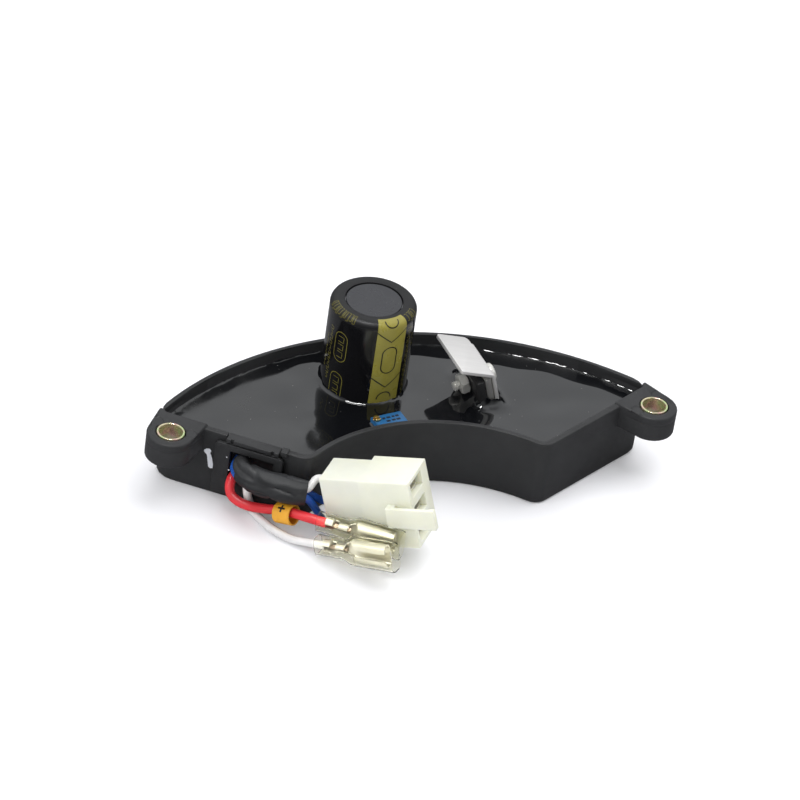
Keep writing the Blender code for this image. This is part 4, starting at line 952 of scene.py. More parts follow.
def make_capacitor():
    shoulder = SHOULDER * MM
    top = SKIN_TOP * MM
    turns = [radians(90 * step / 10) for step in range(11)]
    rounded = [(CAP_R - shoulder * (1 - cos(turn)), top - shoulder * (1 - sin(turn))) for turn in turns]
    bore = CAP_R - 0.4 * MM
    opening = DISC_R + 0.25 * MM
    lip = 0.25 * MM
    profile = [(bore, CAP_LOW.z), (CAP_R, CAP_LOW.z)]
    profile += rounded
    profile += [(opening + lip, top - 0.02 * MM), (opening + 0.3 * lip, top - 0.1 * MM)]
    profile += [(opening, top - 0.3 * MM), (opening, DISC_LOW.z), (bore, DISC_LOW.z)]
    skin = make_finish(
        "capacitor_skin_black", (0.005, 0.005, 0.006), 0.12, grain=0.01 * MM, grain_scale=260.0,
        uneven=0.1, film=0.008, specks=0.2, spread=0.05, Specular_IOR_Level=0.42,
    )
    centre = Matrix.Translation((CAP_CENTRE.x, CAP_CENTRE.y, 0))
    tree = skin.node_tree
    rough = tree.nodes["Principled BSDF"].inputs["Roughness"]
    height = add_node(tree, "ShaderNodeTexCoord").outputs["Object"]
    height = add_node(tree, "ShaderNodeSeparateXYZ", {0: height}).outputs["Z"]
    softer = smooth_range(tree, height, (top - 3.0 * MM, top - 1.0 * MM), (0.0, 0.34))
    tree.links.new(sum_of(tree, "ADD", rough.links[0].from_socket, softer), rough)
    finish_piece(
        "capacitor_skin_piece", turned(profile, 112, tube=True), skin, centre,
        ("capacitor_sleeve",),
    )
    disc = make_finish(
        "capacitor_disc_grey", (0.020, 0.021, 0.026), 0.26, grain=0.006 * MM, grain_scale=900.0,
        uneven=0.08, film=0.03, specks=0.4,
    )
    edge = 0.12 * MM
    top = DISC_HIGH.z
    profile = (
        (DISC_R, DISC_LOW.z), (DISC_R, top - edge), (DISC_R - edge, top), (DISC_R - 0.9 * MM, top),
        (0.001 * MM, top + 0.1 * MM),
    )
    finish_piece(
        "capacitor_disc_piece", turned(profile, 96), disc, centre,
        ("capacitor_top_disc",),
    )


def on_skin(across, height, lift=0.025):
    """A place on the capacitor's skin: millimetres round it and up it, on over the shoulder."""
    straight = SKIN_TOP - SHOULDER
    past = height - straight
    over = min(max(past, 0.0) / SHOULDER, pi / 2)
    radius = CAP_R / MM - SHOULDER * (1 - cos(over)) + lift * cos(over)
    z = min(height, straight) + (SHOULDER + lift) * sin(over)
    radius -= max(0.0, past - SHOULDER * pi / 2)
    turn = across / (CAP_R / MM)
    return Vector((radius * sin(turn), -radius * cos(turn), z)) * MM


def print_patch(shape, corners, lift, columns=6, rows=6):
    """A four-sided patch of print that follows the skin. Corners run round it."""
    low_left, low_right, high_right, high_left = (Vector(corner) for corner in corners)
    grid = []
    for row in range(rows + 1):
        start = low_left.lerp(high_left, row / rows)
        end = low_right.lerp(high_right, row / rows)
        grid.append([
            shape.verts.new(on_skin(*start.lerp(end, column / columns), lift)) for column in range(columns + 1)
        ])
    for lower, upper in zip(grid, grid[1:]):
        for column in range(columns):
            shape.faces.new((lower[column], lower[column + 1], upper[column + 1], upper[column]))


def print_line(shape, points, width, lift, closed=False):
    """A printed line of even width through (across, height) points, cut short enough to follow the skin."""
    corners = [Vector(point) for point in points]
    ends = corners[1:] + corners[:1] if closed else corners[1:]
    places = []
    for start, end in zip(corners, ends):
        count = max(1, round((end - start).length / 0.5))
        places += [start.lerp(end, number / count) for number in range(count)]
    if not closed:
        places.append(corners[-1])
    last = len(places) - 1
    sides = []
    for index, place in enumerate(places):
        before = places[index - 1] if closed or index else place
        after = places[(index + 1) % len(places)] if closed or index < last else place
        forward = (after - before).normalized()
        left = Vector((-forward.y, forward.x)) * width / 2
        sides.append([shape.verts.new(on_skin(*(place + part * left), lift)) for part in (1, -1)])
    for index in range(last + 1 if closed else last):
        first, second = sides[index], sides[(index + 1) % len(places)]
        shape.faces.new((first[0], first[1], second[1], second[0]))


def capsule(across, height, half_wide, half_tall, steps=10):
    """A rounded slot outline."""
    points = []
    straight = half_tall - half_wide
    for step in range(steps + 1):
        turn = pi * step / steps
        points.append((across + half_wide * cos(turn), height + straight + half_wide * sin(turn)))
    for step in range(steps + 1):
        turn = pi + pi * step / steps
        points.append((across + half_wide * cos(turn), height - straight + half_wide * sin(turn)))
    return points


STRIPE_MIDDLE = 3.05
STRIPE_WIDE = 9.5
STRIPE_PITCH = 15.8


def print_stripe(gold, black, centre):
    """The gold polarity stripe with outlined capsules and arrows that point down to the minus pin."""
    half = STRIPE_WIDE / 2
    left, right = STRIPE_MIDDLE - half, STRIPE_MIDDLE + half
    low = RESIN_HIGH.z / MM + 0.5
    high = SKIN_TOP + 1.9
    shape = bmesh.new()
    print_patch(shape, ((left, low), (right, low), (right, high), (left, high)), 0.02, 20, 64)
    piece_of_print("capacitor_stripe", shape, gold, centre)
    shape = bmesh.new()
    middle = STRIPE_MIDDLE - 0.2
    for number in range(3):
        height = 16.9 + number * STRIPE_PITCH
        outline = [
            point for point in capsule(middle, height, 2.25, 4.5, 14)
            if low + 0.2 < point[1] < high - 0.15
        ]
        print_line(shape, outline, 0.36, 0.045, closed=number == 1)
    for number in range(2):
        height = 23.2 + number * STRIPE_PITCH
        print_line(shape, [(left, height + 3.6), (middle, height), (right, height + 3.6)], 0.34, 0.045)
    piece_of_print("capacitor_stripe_lines", shape, black, centre)


def piece_of_print(name, shape, material, centre):
    bmesh.ops.recalc_face_normals(shape, faces=shape.faces)
    for face in shape.faces:
        middle = face.calc_center_median()
        if face.normal.dot(Vector((middle.x, middle.y, 0.004))) < 0:
            face.normal_flip()
    return finish_piece(name, shape, material, centre)


def print_bars(faint, centre):
    """Plain marks in the places of the rating lines, two plain ovals and marks along the shoulder."""
    shape = bmesh.new()
    columns = ((-16.6, 21.0, 40.0, 1.3), (-18.6, 24.0, 36.0, 0.8), (9.7, 18.5, 42.5, 1.5), (12.0, 22.0, 40.0, 0.8))
    for across, low, high, wide in columns:
        for number in range(int((high - low) / 1.7)):
            height = low + 1.7 * number
            reach = wide * (0.5 if number % 3 else 0.3)
            corners = ((-reach, 0.0), (reach, 0.1), (reach, 1.0), (-reach, 1.1))
            print_line(shape, [(across + x, height + y) for x, y in corners], 0.17, 0.02)
    for middle in (20.3, 34.3):
        print_line(shape, capsule(-12.3, middle, 2.2, 5.0, 14), 0.22, 0.02, closed=True)
        for turn in (-2.6, 0.0, 2.6):
            corners = ((-1.0, -0.9), (1.0, -0.9), (1.0, 0.9), (-1.0, 0.9))
            print_line(shape, [(-12.3 + x, middle + turn + y) for x, y in corners], 0.17, 0.02)
    for number, across in enumerate([-19.6 + 1.15 * step for step in range(10)] + [9.0, 10.3, 11.6, 12.9]):
        low = SKIN_TOP - (1.5 if number % 2 else 1.1)
        corners = ((-0.36, low), (0.36, low), (0.36, SKIN_TOP + 1.1), (-0.36, SKIN_TOP + 1.1))
        print_line(shape, [(across + x, height) for x, height in corners], 0.19, 0.02, closed=number % 3 == 0)
    piece_of_print("capacitor_rating_marks", shape, faint, centre)


# Bracket, transistor and fastener

def bracket_matrix():
    return frame_matrix(BRACKET_PLACE, BRACKET_TURN)


def along_bolt(radius_heights, steps=40):
    """A turned shape whose axis is the bolt's."""
    shape = turned(radius_heights, steps)
    turn = Matrix.Rotation(pi / 2, 4, "Y")
    bmesh.ops.transform(shape, matrix=turn, verts=shape.verts)
    return shape


def make_fastener(zinc):
    place = bracket_matrix() @ Matrix.Translation((0, BOLT_SIDE, BOLT_HEIGHT))
    end = NUT_FACE - 2.4 * MM - 2.0 * MM
    profile = [(0.9 * MM, end)]
    pitch = 0.5 * MM
    height = end + 0.15 * MM
    while height < NUT_FACE:
        profile += [(1.2 * MM, height), (1.45 * MM, height + pitch / 2)]
        height += pitch
    head = 0.3 * MM
    profile += [(1.3 * MM, height), (1.3 * MM, head), (2.75 * MM, head), (2.8 * MM, head + 0.1 * MM)]
    profile += [(2.8 * MM, head + 1.1 * MM), (2.6 * MM, head + 1.5 * MM), (2.0 * MM, head + 1.85 * MM)]
    profile += [(1.2 * MM, head + 1.98 * MM), (0.5 * MM, head + 1.3 * MM), (0.01 * MM, head + 1.2 * MM)]
    shape = along_bolt(profile)
    finish_piece("bracket_bolt", shape, zinc, place, ("bracket_screw",), sharp=30.0)
    flat = 5.5 * MM / sqrt(3)
    bore = 1.5 * MM
    low, high = NUT_FACE - 2.4 * MM, NUT_FACE
    chamfer = 0.25 * MM
    hexagon = [(flat * cos(pi / 3 * k), flat * sin(pi / 3 * k)) for k in range(6)]
    sides = []
    for start, stop in zip(hexagon, hexagon[1:] + hexagon[:1]):
        for step in range(6):
            share = step / 6
            sides.append((start[0] + (stop[0] - start[0]) * share, start[1] + (stop[1] - start[1]) * share))
    inner = circle(flat - 0.25 * MM, 36)
    hole = circle(bore, 36)

    def ring(outline, height):
        return [Vector((x, y, height)) for x, y in outline]

    def pulled(height, top):
        found = []
        for x, y in sides:
            reach = hypot(x, y)
            drop = max(0.0, (reach - 2.75 * MM) * 0.9)
            found.append(Vector((x, y, height - top * drop)))
        return found

    tight = [(x * 2.6 * MM / hypot(x, y), y * 2.6 * MM / hypot(x, y)) for x, y in sides]
    mouth = [(x * (bore + chamfer) / hypot(x, y), y * (bore + chamfer) / hypot(x, y)) for x, y in sides]
    throat = [(x * bore / hypot(x, y), y * bore / hypot(x, y)) for x, y in sides]
    rings = [
        ring(throat, low + chamfer), ring(mouth, low), ring(tight, low), pulled(low, -1),
        pulled(high, 1), ring(tight, high), ring(mouth, high), ring(throat, high - chamfer),
    ]
    shape = loft(rings, tube=True)
    bmesh.ops.transform(shape, matrix=Matrix.Rotation(pi / 2, 4, "Y"), verts=shape.verts)
    finish_piece("bracket_nut_piece", shape, zinc, place, ("bracket_nut",), sharp=25.0)


# Receptacles

def ribbon(wide, radius, angle, lip, steps=8):
    """Centre line of a sheet curled up at both sides: flat base, two arcs and two straight lips."""
    right = [(wide, -radius)]
    for step in range(1, steps + 1):
        turn = angle * step / steps
        right.append((wide + radius * sin(turn), -radius * cos(turn)))
    last = right[-1]
    right.append((last[0] + lip * cos(angle), last[1] + lip * sin(angle)))
    left = [(-x, z) for x, z in reversed(right)]
    return left + right


def thick_ribbon(line, thickness):
    """A closed outline round a centre line."""
    outer, inner = [], []
    last = len(line) - 1
    for index, (x, z) in enumerate(line):
        before, after = line[max(index - 1, 0)], line[min(index + 1, last)]
        dx, dz = after[0] - before[0], after[1] - before[1]
        size = hypot(dx, dz)
        nx, nz = dz / size * thickness / 2, -dx / size * thickness / 2
        outer.append((x + nx, z + nz))
        inner.append((x - nx, z - nz))
    return outer + inner[::-1]


TERMINAL_STATIONS = (
    # place, half width of the base, curl radius, curl angle, lip, drop of the base
    (0.0, 0.35, 1.35, 165, 0.10), (2.2, 0.35, 1.35, 165, 0.10), (2.5, 0.35, 1.25, 65, 0.05),
    (3.6, 0.35, 1.20, 60, 0.05), (3.9, 0.20, 1.00, 175, 0.10), (6.6, 0.20, 1.00, 175, 0.10),
    (6.9, 0.45, 1.15, 70, 0.05), (8.6, 1.40, 1.30, 62, 0.10), (9.4, 1.95, 1.32, 120, 0.40),
    (9.9, 1.95, 1.32, 178, 0.85), (19.6, 1.95, 1.32, 178, 0.85), (20.4, 2.05, 1.34, 172, 0.80),
)


def receptacle_shape():
    """A crimped receptacle from its insulation grip to its mouth, along X."""
    rings = []
    for place, wide, radius, angle, lip in TERMINAL_STATIONS:
        line = ribbon(wide, radius, radians(angle), lip)
        outline = thick_ribbon(line, 0.36)
        rings.append([Vector((place, y, z)) * MM for y, z in outline])
    return loft(rings)


def make_receptacle(name, matrix, metal, replaces):
    """The crimped receptacle alone; the stripped strands in its grips are made apart."""
    shape = receptacle_shape()
    finish_piece(name + "_receptacle", shape, metal, matrix, replaces, sharp=40.0)


def make_strands(name, matrix, copper):
    """Bare strands from the end of the insulation through the wire grip."""
    shape = bmesh.new()
    for x, y in [(0.0, 0.0), *circle(0.42, 6)]:
        rings = [
            [Vector((place, x + 0.2 * cos(k * pi / 3), y + 0.2 * sin(k * pi / 3))) * MM for k in range(6)]
            for place in (1.6, 7.4)
        ]
        loops = [[shape.verts.new(point) for point in ring] for ring in rings]
        shape.faces.new(loops[0][::-1])
        shape.faces.new(loops[1])
        for index in range(6):
            after = (index + 1) % 6
            shape.faces.new((loops[0][index], loops[0][after], loops[1][after], loops[1][index]))
    finish_piece(name + "_strands", shape, copper, matrix)


# Clear sleeves

SLEEVE_STATIONS = (
    # place, tall, deep
    (0.0, 5.4, 4.8), (0.3, 5.45, 4.8), (8.0, 5.4, 4.7), (8.8, 5.6, 4.7), (10.0, 6.8, 4.7),
    (11.2, 8.3, 4.8), (12.0, 8.6, 4.8), (24.6, 8.6, 4.8), (25.0, 8.5, 4.75),
)


def sleeve_ring(place, tall, deep, inset):
    radius = min(1.7, tall / 2 - 0.05, deep / 2 - 0.05)
    outline = rounded_rectangle(deep - 2 * inset, tall - 2 * inset, max(0.2, radius - inset), 6)
    return [Vector((place, y, z)) * MM for y, z in outline]


def make_sleeve(name, matrix, clear, replaces):
    outer = [sleeve_ring(*station, 0.0) for station in SLEEVE_STATIONS]
    inner = [sleeve_ring(*station, 0.32) for station in reversed(SLEEVE_STATIONS)]
    finish_piece(name, loft(outer + inner, tube=True), clear, matrix, replaces, sharp=50.0)


def clear_finish():
    """Soft clear sleeve: smooth, slightly yellow and lightly frosted."""
    material = bpy.data.materials.new("clear_sleeve")
    material.use_nodes = True
    tree = material.node_tree
    shader = tree.nodes["Principled BSDF"]
    shader.inputs["IOR"].default_value = 1.15
    shader.inputs["Transmission Weight"].default_value = 1.0
    surface = place_group(tree, surface_grain(), Scale=500.0, Patch_Scale=220.0)
    tinted = mix_colours(tree, surface["Tone"], (0.98, 0.97, 0.86, 1.0), (0.995, 0.99, 0.94, 1.0))
    tree.links.new(tinted, shader.inputs["Base Color"])
    rough = sum_of(tree, "MULTIPLY_ADD", surface["Tone"], 0.06, 0.03)
    tree.links.new(rough, shader.inputs["Roughness"])
    bump = add_node(tree, "ShaderNodeBump", {"Height": surface["Height"], "Strength": 0.4, "Distance": 0.02 * MM})
    tree.links.new(bump.outputs[0], shader.inputs["Normal"])
    return material


# Heat-shrink and marker

SHRINK_SHARES = (0.27, 1.0)
SHRINK_SLANT = 0.24
SHRINK_RADII = (2.95, 3.5, 3.95, 4.15, 4.12, 4.15, 4.1, 3.95, 3.7, 3.45)


def shrink_radius(share):
    place = share * (len(SHRINK_RADII) - 1)
    index = min(int(place), len(SHRINK_RADII) - 2)
    part = place - index
    part = part * part * (3 - 2 * part)
    return SHRINK_RADII[index] * (1 - part) + SHRINK_RADII[index + 1] * part


def make_shrink(material):
    """A soft sleeve with long folds that follows the bundle."""
    path = smooth_path(route_points(BUNDLE_ROUTE))
    rings_count, steps, samples = 70, 64, 600
    centres = even_points(path, samples)
    frames = path_frames(centres)
    outer, inner = [], []
    for index in range(rings_count):
        share = index / (rings_count - 1)
        base = shrink_radius(share)
        out_ring, in_ring = [], []
        for step in range(steps):
            turn = 2 * pi * step / steps
            fold = noise.noise(Vector((1.25 * cos(turn), 1.25 * sin(turn), 2.9 * share + 2.0)))
            crease = abs(noise.noise(Vector((0.8 * cos(turn) + 4, 0.8 * sin(turn), 2.4 * share))))
            triangle = 0.12 * cos(3 * (turn - radians(90)))
            radius = base + 1.1 * fold - 3.6 * max(0.0, 0.13 - crease) + triangle - 0.05
            radius = max(min(3.2, base), min(radius, base + 0.1))
            start = SHRINK_SHARES[0] - SHRINK_SLANT * max(0.0, cos(turn - radians(115)))
            place = start + (SHRINK_SHARES[1] - start) * share
            centre, (side, up) = (found[round(place * (samples - 1))] for found in (centres, frames))
            direction = side * cos(turn) + up * sin(turn)
            out_ring.append(centre + direction * radius * MM)
            in_ring.append(centre + direction * (radius - 0.3) * MM)
        outer.append(out_ring)
        inner.append(in_ring)
    finish_piece(
        "shrink_tube", loft(outer + inner[::-1], tube=True), material, None,
        ("heat_shrink_sleeve",), sharp=70.0,
    )


def marker_matrix():
    start, end = even_points(red_path(), 2, *MARKER_SPAN)
    forward = (end - start).normalized()
    side = forward.cross(Vector((0, 0, 1))).normalized()
    up = side.cross(forward)
    axes = Matrix((forward, -side, up)).transposed().to_4x4()
    return Matrix.Translation((start + end) / 2 - Vector((0, 0, MARKER_DROP))) @ axes, (end - start).length


def make_marker(yellow, ink):
    """The loose ring on the red lead, with a plain plus on it."""
    matrix, length = marker_matrix()
    half = length / 2
    radius, bore, edge = 3.0 * MM, 2.4 * MM, 0.12 * MM
    profile = (
        (bore, edge - half), (bore + edge, -half), (radius - edge, -half), (radius, edge - half),
        (radius, half - edge), (radius - edge, half), (bore + edge, half), (bore, half - edge),
    )
    shape = turned(profile, 72, tube=True)
    bmesh.ops.transform(shape, matrix=Matrix.Rotation(pi / 2, 4, "Y"), verts=shape.verts)
    finish_piece("marker_ring", shape, yellow, matrix, ("polarity_marker",))
    shape = bmesh.new()
    lift = radius + 0.02 * MM
    for wide, tall in ((0.60, 2.4), (2.4, 0.60)):
        columns, rows = 2, 8
        grid = []
        for row in range(rows + 1):
            v = (row / rows - 0.5) * tall
            line = []
            for column in range(columns + 1):
                u = (column / columns - 0.5) * wide
                turn = radians(58) + v * MM / radius
                line.append(shape.verts.new((u * MM, -lift * cos(turn), lift * sin(turn))))
            grid.append(line)
        for lower, upper in zip(grid, grid[1:]):
            for column in range(columns):
                shape.faces.new((lower[column], lower[column + 1], upper[column + 1], upper[column]))
        lift += 0.004 * MM
    finish_piece("marker_plus", shape, ink, matrix)


# White flecks on the end wall and its gate

def make_flecks(white):
    """A smear of white paint with a hooked top on the end wall, and two small raised white specks on its gate."""
    shape = bmesh.new()
    smear = (
        (50.8, 13.0), (51.3, 13.3), (51.8, 13.7), (51.7, 14.3), (51.1, 14.9), (50.4, 15.1), (49.8, 14.8),
        (49.6, 14.2), (50.0, 13.8), (49.5, 13.1), (49.1, 12.0), (48.8, 10.6), (48.5, 9.4), (48.7, 8.7),
        (49.4, 8.4), (50.0, 8.8), (50.2, 9.9), (50.5, 11.3), (50.6, 12.3),
    )
    outlines = [(smear, 0.0)]
    # two small raised white specks standing proud on the gate
    for along, height, size in ((44.5, 15.2, 0.2), (43.5, 11.0, 0.26)):
        outlines.append(([(along + x, height + y) for x, y in circle(size, 8)], GATE_PROUD))
    for outline, proud in outlines:
        base = [end_wall_point(a * MM, proud * MM) + Vector((0, 0, h * MM)) for a, h in outline]
        raised = []
        for index, point in enumerate(base):
            middle = (base[index - 1] + base[(index + 1) % len(base)]) / 2
            raised.append(point.lerp(middle, 0.25) + end_wall_normal() * 0.09 * MM)
        low = [shape.verts.new(p) for p in base]
        high = [shape.verts.new(p) for p in raised]
        shape.faces.new(low[::-1])
        shape.faces.new(high)
        for index in range(len(low)):
            after = (index + 1) % len(low)
            shape.faces.new((low[index], low[after], high[after], high[index]))
    bmesh.ops.recalc_face_normals(shape, faces=shape.faces)
    finish_piece("white_flecks", shape, white)


def end_wall_normal():
    return Vector((-sin(END_SLOPE), -cos(END_SLOPE), 0))


# Operators

class StageOperator(bpy.types.Operator):
    """Add the camera, the soft lights and the pale floor"""
    bl_idname = "regulator.stage"
    bl_label = "Stage"

    def execute(self, context):
        stage = settings()[0]
        context.scene.view_settings.view_transform = "Standard"
        make_camera(context.scene, stage)
        make_world(context.scene, stage)
        make_light("key_light", (0.25, 0.15, 0.9), (0.9, 0.9), stage.key_power)
        make_light("glint_light", (-0.20, -0.18, 0.93), (0.40, 0.13), stage.glint_power, glint=True)
        make_light("side_light", (-0.75, -0.25, 0.45), (0.5, 0.5), stage.side_power)
        make_floor(stage)
        return {"FINISHED"}


class LeadsOperator(bpy.types.Operator):
    """Add the five insulated leads"""
    bl_idname = "regulator.leads"
    bl_label = "Leads"

    def execute(self, context):
        sizes, colours = settings()[1:]
        red = insulation("red_wire", colours.red)
        white = insulation("white_wire", colours.white)
        blue = insulation("blue_wire", colours.blue)
        make_lead("lead_red", red_path(), sizes.red_wire, red)
        make_lead("lead_white", white_path(), sizes.white_wire, white)
        for number, name in enumerate(BUNDLE):
            material, slot = (blue, "blue_insulation") if number else (white, "white_insulation")
            make_lead(name, bundle_path(number), sizes.bundle_wire, material)
        return {"FINISHED"}


class HousingOperator(bpy.types.Operator):
    """Dress the moulded tray, its wire gate and the two steel bushings"""
    bl_idname = "regulator.housing"
    bl_label = "Housing"

    def execute(self, context):
        edge = settings()[1].edge
        shape = node_shape("housing_tray")
        round_edges(shape, edge)
        scribe_parting_line(shape)
        finish_piece(
            "housing_moulding", shape, moulded_black(), None, ("housing_tray",),
        )
        dress_node("wire_gate", gate_plastic(), 0.7 * edge)
        passivated = yellow_passivation()
        half = 4.25 * MM
        bore, outer, curl = 3.35 * MM, 4.0 * MM, 0.28 * MM
        profile = []
        for side in (-1, 1):
            turns = [radians(90 * side * step / 5) for step in range(6)]
            lip = [(outer - curl + curl * cos(turn), side * (half - curl) + curl * sin(turn)) for turn in turns]
            mouth = [(bore + curl - curl * cos(turn), side * (half - curl) + curl * sin(turn)) for turn in turns]
            profile.append((lip, mouth))
        (low_lip, low_mouth), (high_lip, high_mouth) = profile
        outline = low_mouth + low_lip[::-1] + high_lip + high_mouth[::-1]
        for name in ("lug_bushing_left", "lug_bushing_right"):
            place = Matrix.Translation(box_middle(name))
            finish_piece(
                name + "_ring", turned(outline, 72, tube=True), passivated, place, (name,),
            )
        return {"FINISHED"}


class ResinOperator(bpy.types.Operator):
    """Pour the potting resin"""
    bl_idname = "regulator.resin"
    bl_label = "Resin"

    def execute(self, context):
        make_resin(settings()[1], resin_finish())
        return {"FINISHED"}


class CapacitorOperator(bpy.types.Operator):
    """Add the capacitor's skin, its top disc and its plain print"""
    bl_idname = "regulator.capacitor"
    bl_label = "Capacitor"

    def execute(self, context):
        make_capacitor()
        centre = Matrix.Translation((CAP_CENTRE.x, CAP_CENTRE.y, 0))
        gold = make_finish(
            "gold_print", settings()[2].gold, 0.30, uneven=0.06, patch_scale=300.0, Coat_Weight=0.2,
            Coat_Roughness=0.1,
        )
        black = make_finish("black_print", (0.008, 0.008, 0.009), 0.3)
        print_stripe(gold, black, centre)
        faint = make_finish(
            "faint_gold_print", tuple(0.68 * value for value in settings()[2].gold), 0.30, uneven=0.12,
            patch_scale=300.0,
        )
        print_bars(faint, centre)
        return {"FINISHED"}


class BracketOperator(bpy.types.Operator):
    """Dress the heat-sink bracket, the transistor's body and backplate and the bolt and nut"""
    bl_idname = "regulator.bracket"
    bl_label = "Bracket"

    def execute(self, context):
        matrix = bracket_matrix()
        aluminium = make_finish(
            "brushed_aluminium", (0.70, 0.69, 0.68), 0.50, metallic=0.45, grain=0.010 * MM,
            grain_scale=420.0, patch_scale=120.0, stretch=(1.0, 9.0, 1.0), uneven=0.03, spread=0.10,
        )
        dress_node("heat_sink_bracket", aluminium, 0.09 * MM, matrix)
        case = make_finish(
            "epoxy_case", (0.017, 0.017, 0.018), 0.42, grain=0.02 * MM, grain_scale=2600.0, specks=0.2,
        )
        dress_node("transistor_body", case, 0.12 * MM, matrix)
        dress_node("transistor_backplate", tinned(), 0.08 * MM, matrix)
        make_fastener(bright_zinc())
        return {"FINISHED"}


class TrimmerOperator(bpy.types.Operator):
    """Dress the trimmer and its adjusting screw"""
    bl_idname = "regulator.trimmer"
    bl_label = "Trimmer"

    def execute(self, context):
        blue = make_finish(
            "trimmer_case", (0.010, 0.110, 0.28), 0.34, grain=0.008 * MM, uneven=0.08, specks=0.1,
        )
        brass = make_finish(
            "screw_brass", (0.78, 0.58, 0.26), 0.26, metallic=1.0, uneven=0.1, grain=0.004 * MM,
        )
        dress_node("trimmer_body", blue, 0.14 * MM)
        dress_node("trimmer_screw", brass, 0.06 * MM, body="adjusting_screw")
        low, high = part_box("trimmer_body")
        matrix = Matrix.Translation(((low.x + high.x) / 2, (low.y + high.y) / 2, high.z))
        matrix = matrix @ Matrix.Rotation(TRIMMER_YAW, 4, "Z")
        shape = bmesh.new()
        bars = (
            (-1.4, 0.75, 0.9), (0.1, 0.75, 1.2), (1.6, 0.75, 0.8), (2.9, 0.75, 1.0),
            (-0.6, -0.75, 1.3), (1.1, -0.75, 1.1), (2.6, -0.75, 1.2),
        )
        for x, y, wide in bars:
            lift = 0.02 * MM
            corners = ((x - wide / 2, y - 0.4), (x + wide / 2, y - 0.4), (x + wide / 2, y + 0.4), (x - wide / 2, y + 0.4))
            shape.faces.new([shape.verts.new((u * MM, v * MM, lift)) for u, v in corners])
        ink = make_finish("dark_ink", (0.008, 0.011, 0.02), 0.4)
        finish_piece("trimmer_bars", shape, ink, matrix)
        return {"FINISHED"}


class ConnectorOperator(bpy.types.Operator):
    """Dress the three-way connector and its receptacles"""
    bl_idname = "regulator.connector"
    bl_label = "Connector"

    def execute(self, context):
        nylon = make_finish(
            "nylon_natural", settings()[2].nylon, 0.38, grain=0.012 * MM, grain_scale=1400.0,
            patch_scale=110.0, uneven=0.03, Subsurface_Weight=0.35, Subsurface_Scale=0.004,
            Subsurface_Radius=(1.0, 0.9, 0.6),
        )
        matrix = frame_matrix(CONNECTOR_PLACE, CONNECTOR_TURN)
        dress_node("connector_housing", nylon, 0.14 * MM, matrix)
        for number in range(3):
            place = Vector((TERMINAL_START, CAVITY_SIDE, -CAVITY_FIRST - number * CAVITY_PITCH)) * MM
            make_receptacle(
                f"connector_{number + 1}", matrix @ Matrix.Translation(place), receptacle_brass(),
                (f"connector_terminal_{number + 1}",),
            )
        return {"FINISHED"}


class LooseEndsOperator(bpy.types.Operator):
    """Add the two loose receptacles in their clear sleeves"""
    bl_idname = "regulator.loose_ends"
    bl_label = "Loose terminals"

    def execute(self, context):
        clear = clear_finish()
        copper = make_finish("bare_strands", (0.75, 0.62, 0.50), 0.3, metallic=1.0, uneven=0.1)
        for colour, pose in SLEEVES.items():
            matrix = frame_matrix(*pose)
            inner = matrix @ Matrix.Translation((TERMINAL_IN_SLEEVE * MM, 0, 0)) @ Matrix.Rotation(pi / 2, 4, "X")
            make_receptacle("loose_" + colour, inner, receptacle_brass(), ("terminal_" + colour,))
            make_strands("loose_" + colour, inner, copper)
            make_sleeve("clear_sleeve_" + colour, matrix, clear, ("terminal_sleeve_" + colour,))
        return {"FINISHED"}


class SleevingOperator(bpy.types.Operator):
    """Add the heat-shrink and the polarity marker"""
    bl_idname = "regulator.sleeving"
    bl_label = "Heat-shrink and marker"

    def execute(self, context):
        grey = make_finish(
            "shrink_grey", (0.021, 0.022, 0.024), 0.60, grain=0.01 * MM, grain_scale=1500.0,
            patch_scale=160.0, uneven=0.14, film=0.01, specks=0.1,
        )
        make_shrink(grey)
        yellow = make_finish(
            "marker_yellow_pvc", settings()[2].marker, 0.38, grain=0.006 * MM, uneven=0.06,
        )
        ink = make_finish("dark_ink", (0.008, 0.011, 0.02), 0.4)
        make_marker(yellow, ink)
        return {"FINISHED"}


class FlecksOperator(bpy.types.Operator):
    """Add the smear of white paint on the end wall and the two small white specks on its gate"""
    bl_idname = "regulator.flecks"
    bl_label = "White flecks"

    def execute(self, context):
        paint = make_finish("white_fleck_finish", (0.88, 0.90, 0.95), 0.45, grain=0.03 * MM, grain_scale=1500.0)
        make_flecks(paint)
        return {"FINISHED"}


class BuriedOperator(bpy.types.Operator):
    """Give the board and the parts under the resin their finishes"""
    bl_idname = "regulator.buried"
    bl_label = "Buried parts"

    def execute(self, context):
        green = make_finish("board_green_mask", (0.03, 0.16, 0.07), 0.45, grain=0.01 * MM)
        ceramic = make_finish("ceramic_white", (0.72, 0.70, 0.64), 0.7, grain=0.02 * MM)
        film = make_finish("film_dipped", (0.40, 0.06, 0.03), 0.35, grain=0.01 * MM)
        epoxy = make_finish("epoxy_small", (0.02, 0.02, 0.021), 0.4, grain=0.01 * MM)
        can = make_finish("can_aluminium", (0.86, 0.86, 0.87), 0.3, metallic=1.0)
        chosen = {"circuit_board": green, "power_resistor": ceramic, "film_capacitor": film, "capacitor_can": can}
        for name, node in NODES.items():
            if node.hide_render:
                continue
            material = chosen.get(name)
            if material is None:
                material = tinned() if "pin" in name or "lead" in name else epoxy
            node.data.materials.clear()
            node.data.materials.append(material)
        return {"FINISHED"}


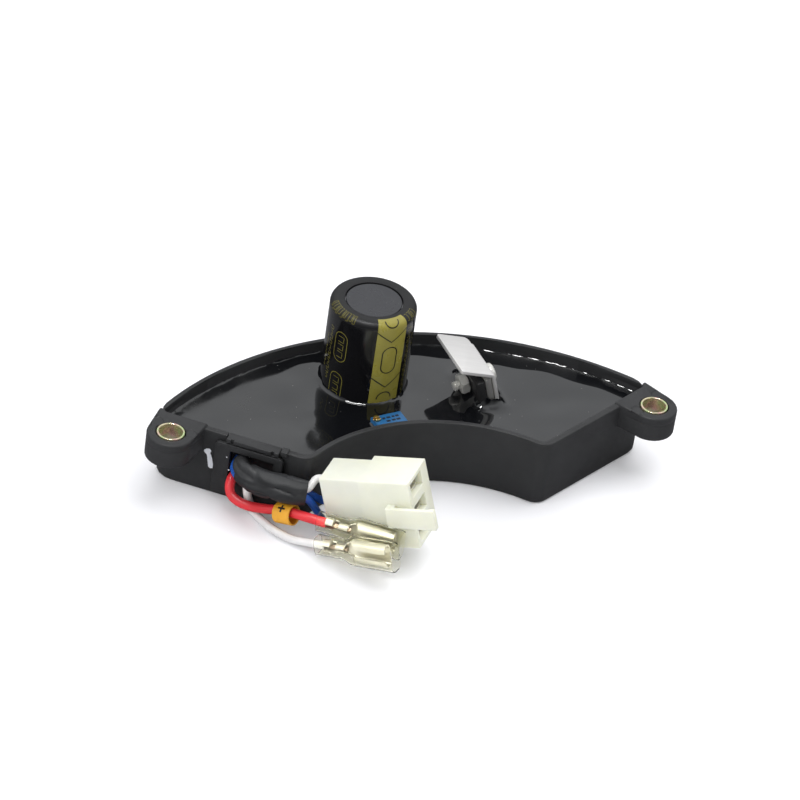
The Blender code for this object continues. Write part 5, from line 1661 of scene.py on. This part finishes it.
class CordsOperator(bpy.types.Operator):
    bl_idname = "regulator.cords"
    bl_label = "Declare leads"

    def execute(self, context):
        sizes = settings()[1]
        for colour, path, size in (("red", red_path(), sizes.red_wire), ("white", white_path(), sizes.white_wire)):
            carried = [f"loose_{colour}_receptacle", f"loose_{colour}_strands", f"clear_sleeve_{colour}"]
            if colour == "red":
                carried += ["marker_ring", "marker_plus"]
        for number, name in enumerate(BUNDLE):
            carried = [f"connector_{number + 1}_receptacle"]
            if number == 0:
                carried += ["connector_housing_dressed", "shrink_tube"]
            bundle_path(number)
        return {"FINISHED"}


class RegulatorPanel(bpy.types.Panel):
    """Lists the operators and the settings"""
    bl_idname = "VIEW3D_PT_regulator"
    bl_label = "Voltage regulator"
    bl_space_type = "VIEW_3D"
    bl_region_type = "UI"
    bl_category = "Regulator"

    def draw(self, context):
        layout = self.layout
        for group in settings():
            box = layout.box()
            for name in group.bl_rna.properties.keys():
                if name not in ("rna_type", "name"):
                    box.prop(group, name)
        for operator in OPERATORS:
            layout.operator(operator.bl_idname)


GROUPS = (RegulatorStage, RegulatorSizes, RegulatorColours)
OPERATORS = (
    StageOperator, LeadsOperator, HousingOperator, ResinOperator, CapacitorOperator, BracketOperator,
    TrimmerOperator, ConnectorOperator, LooseEndsOperator, SleevingOperator, FlecksOperator,
    BuriedOperator, CordsOperator,
)


def register():
    for item in (*GROUPS, *OPERATORS, RegulatorPanel):
        bpy.utils.register_class(item)
    bpy.types.Scene.regulator_stage = PointerProperty(type=RegulatorStage)
    bpy.types.Scene.regulator_sizes = PointerProperty(type=RegulatorSizes)
    bpy.types.Scene.regulator_colours = PointerProperty(type=RegulatorColours)


def unregister():
    del bpy.types.Scene.regulator_stage
    del bpy.types.Scene.regulator_sizes
    del bpy.types.Scene.regulator_colours
    for item in reversed((*GROUPS, *OPERATORS, RegulatorPanel)):
        bpy.utils.unregister_class(item)


def main():
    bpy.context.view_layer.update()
    register()
    for operator in OPERATORS:
        group, name = operator.bl_idname.split(".")
        getattr(getattr(bpy.ops, group), name)()


if __name__ == "__main__":
    for item in list(bpy.data.objects):
        if item.name in ("Cube", "Light", "Camera"):
            bpy.data.objects.remove(item, do_unlink=True)
    main()
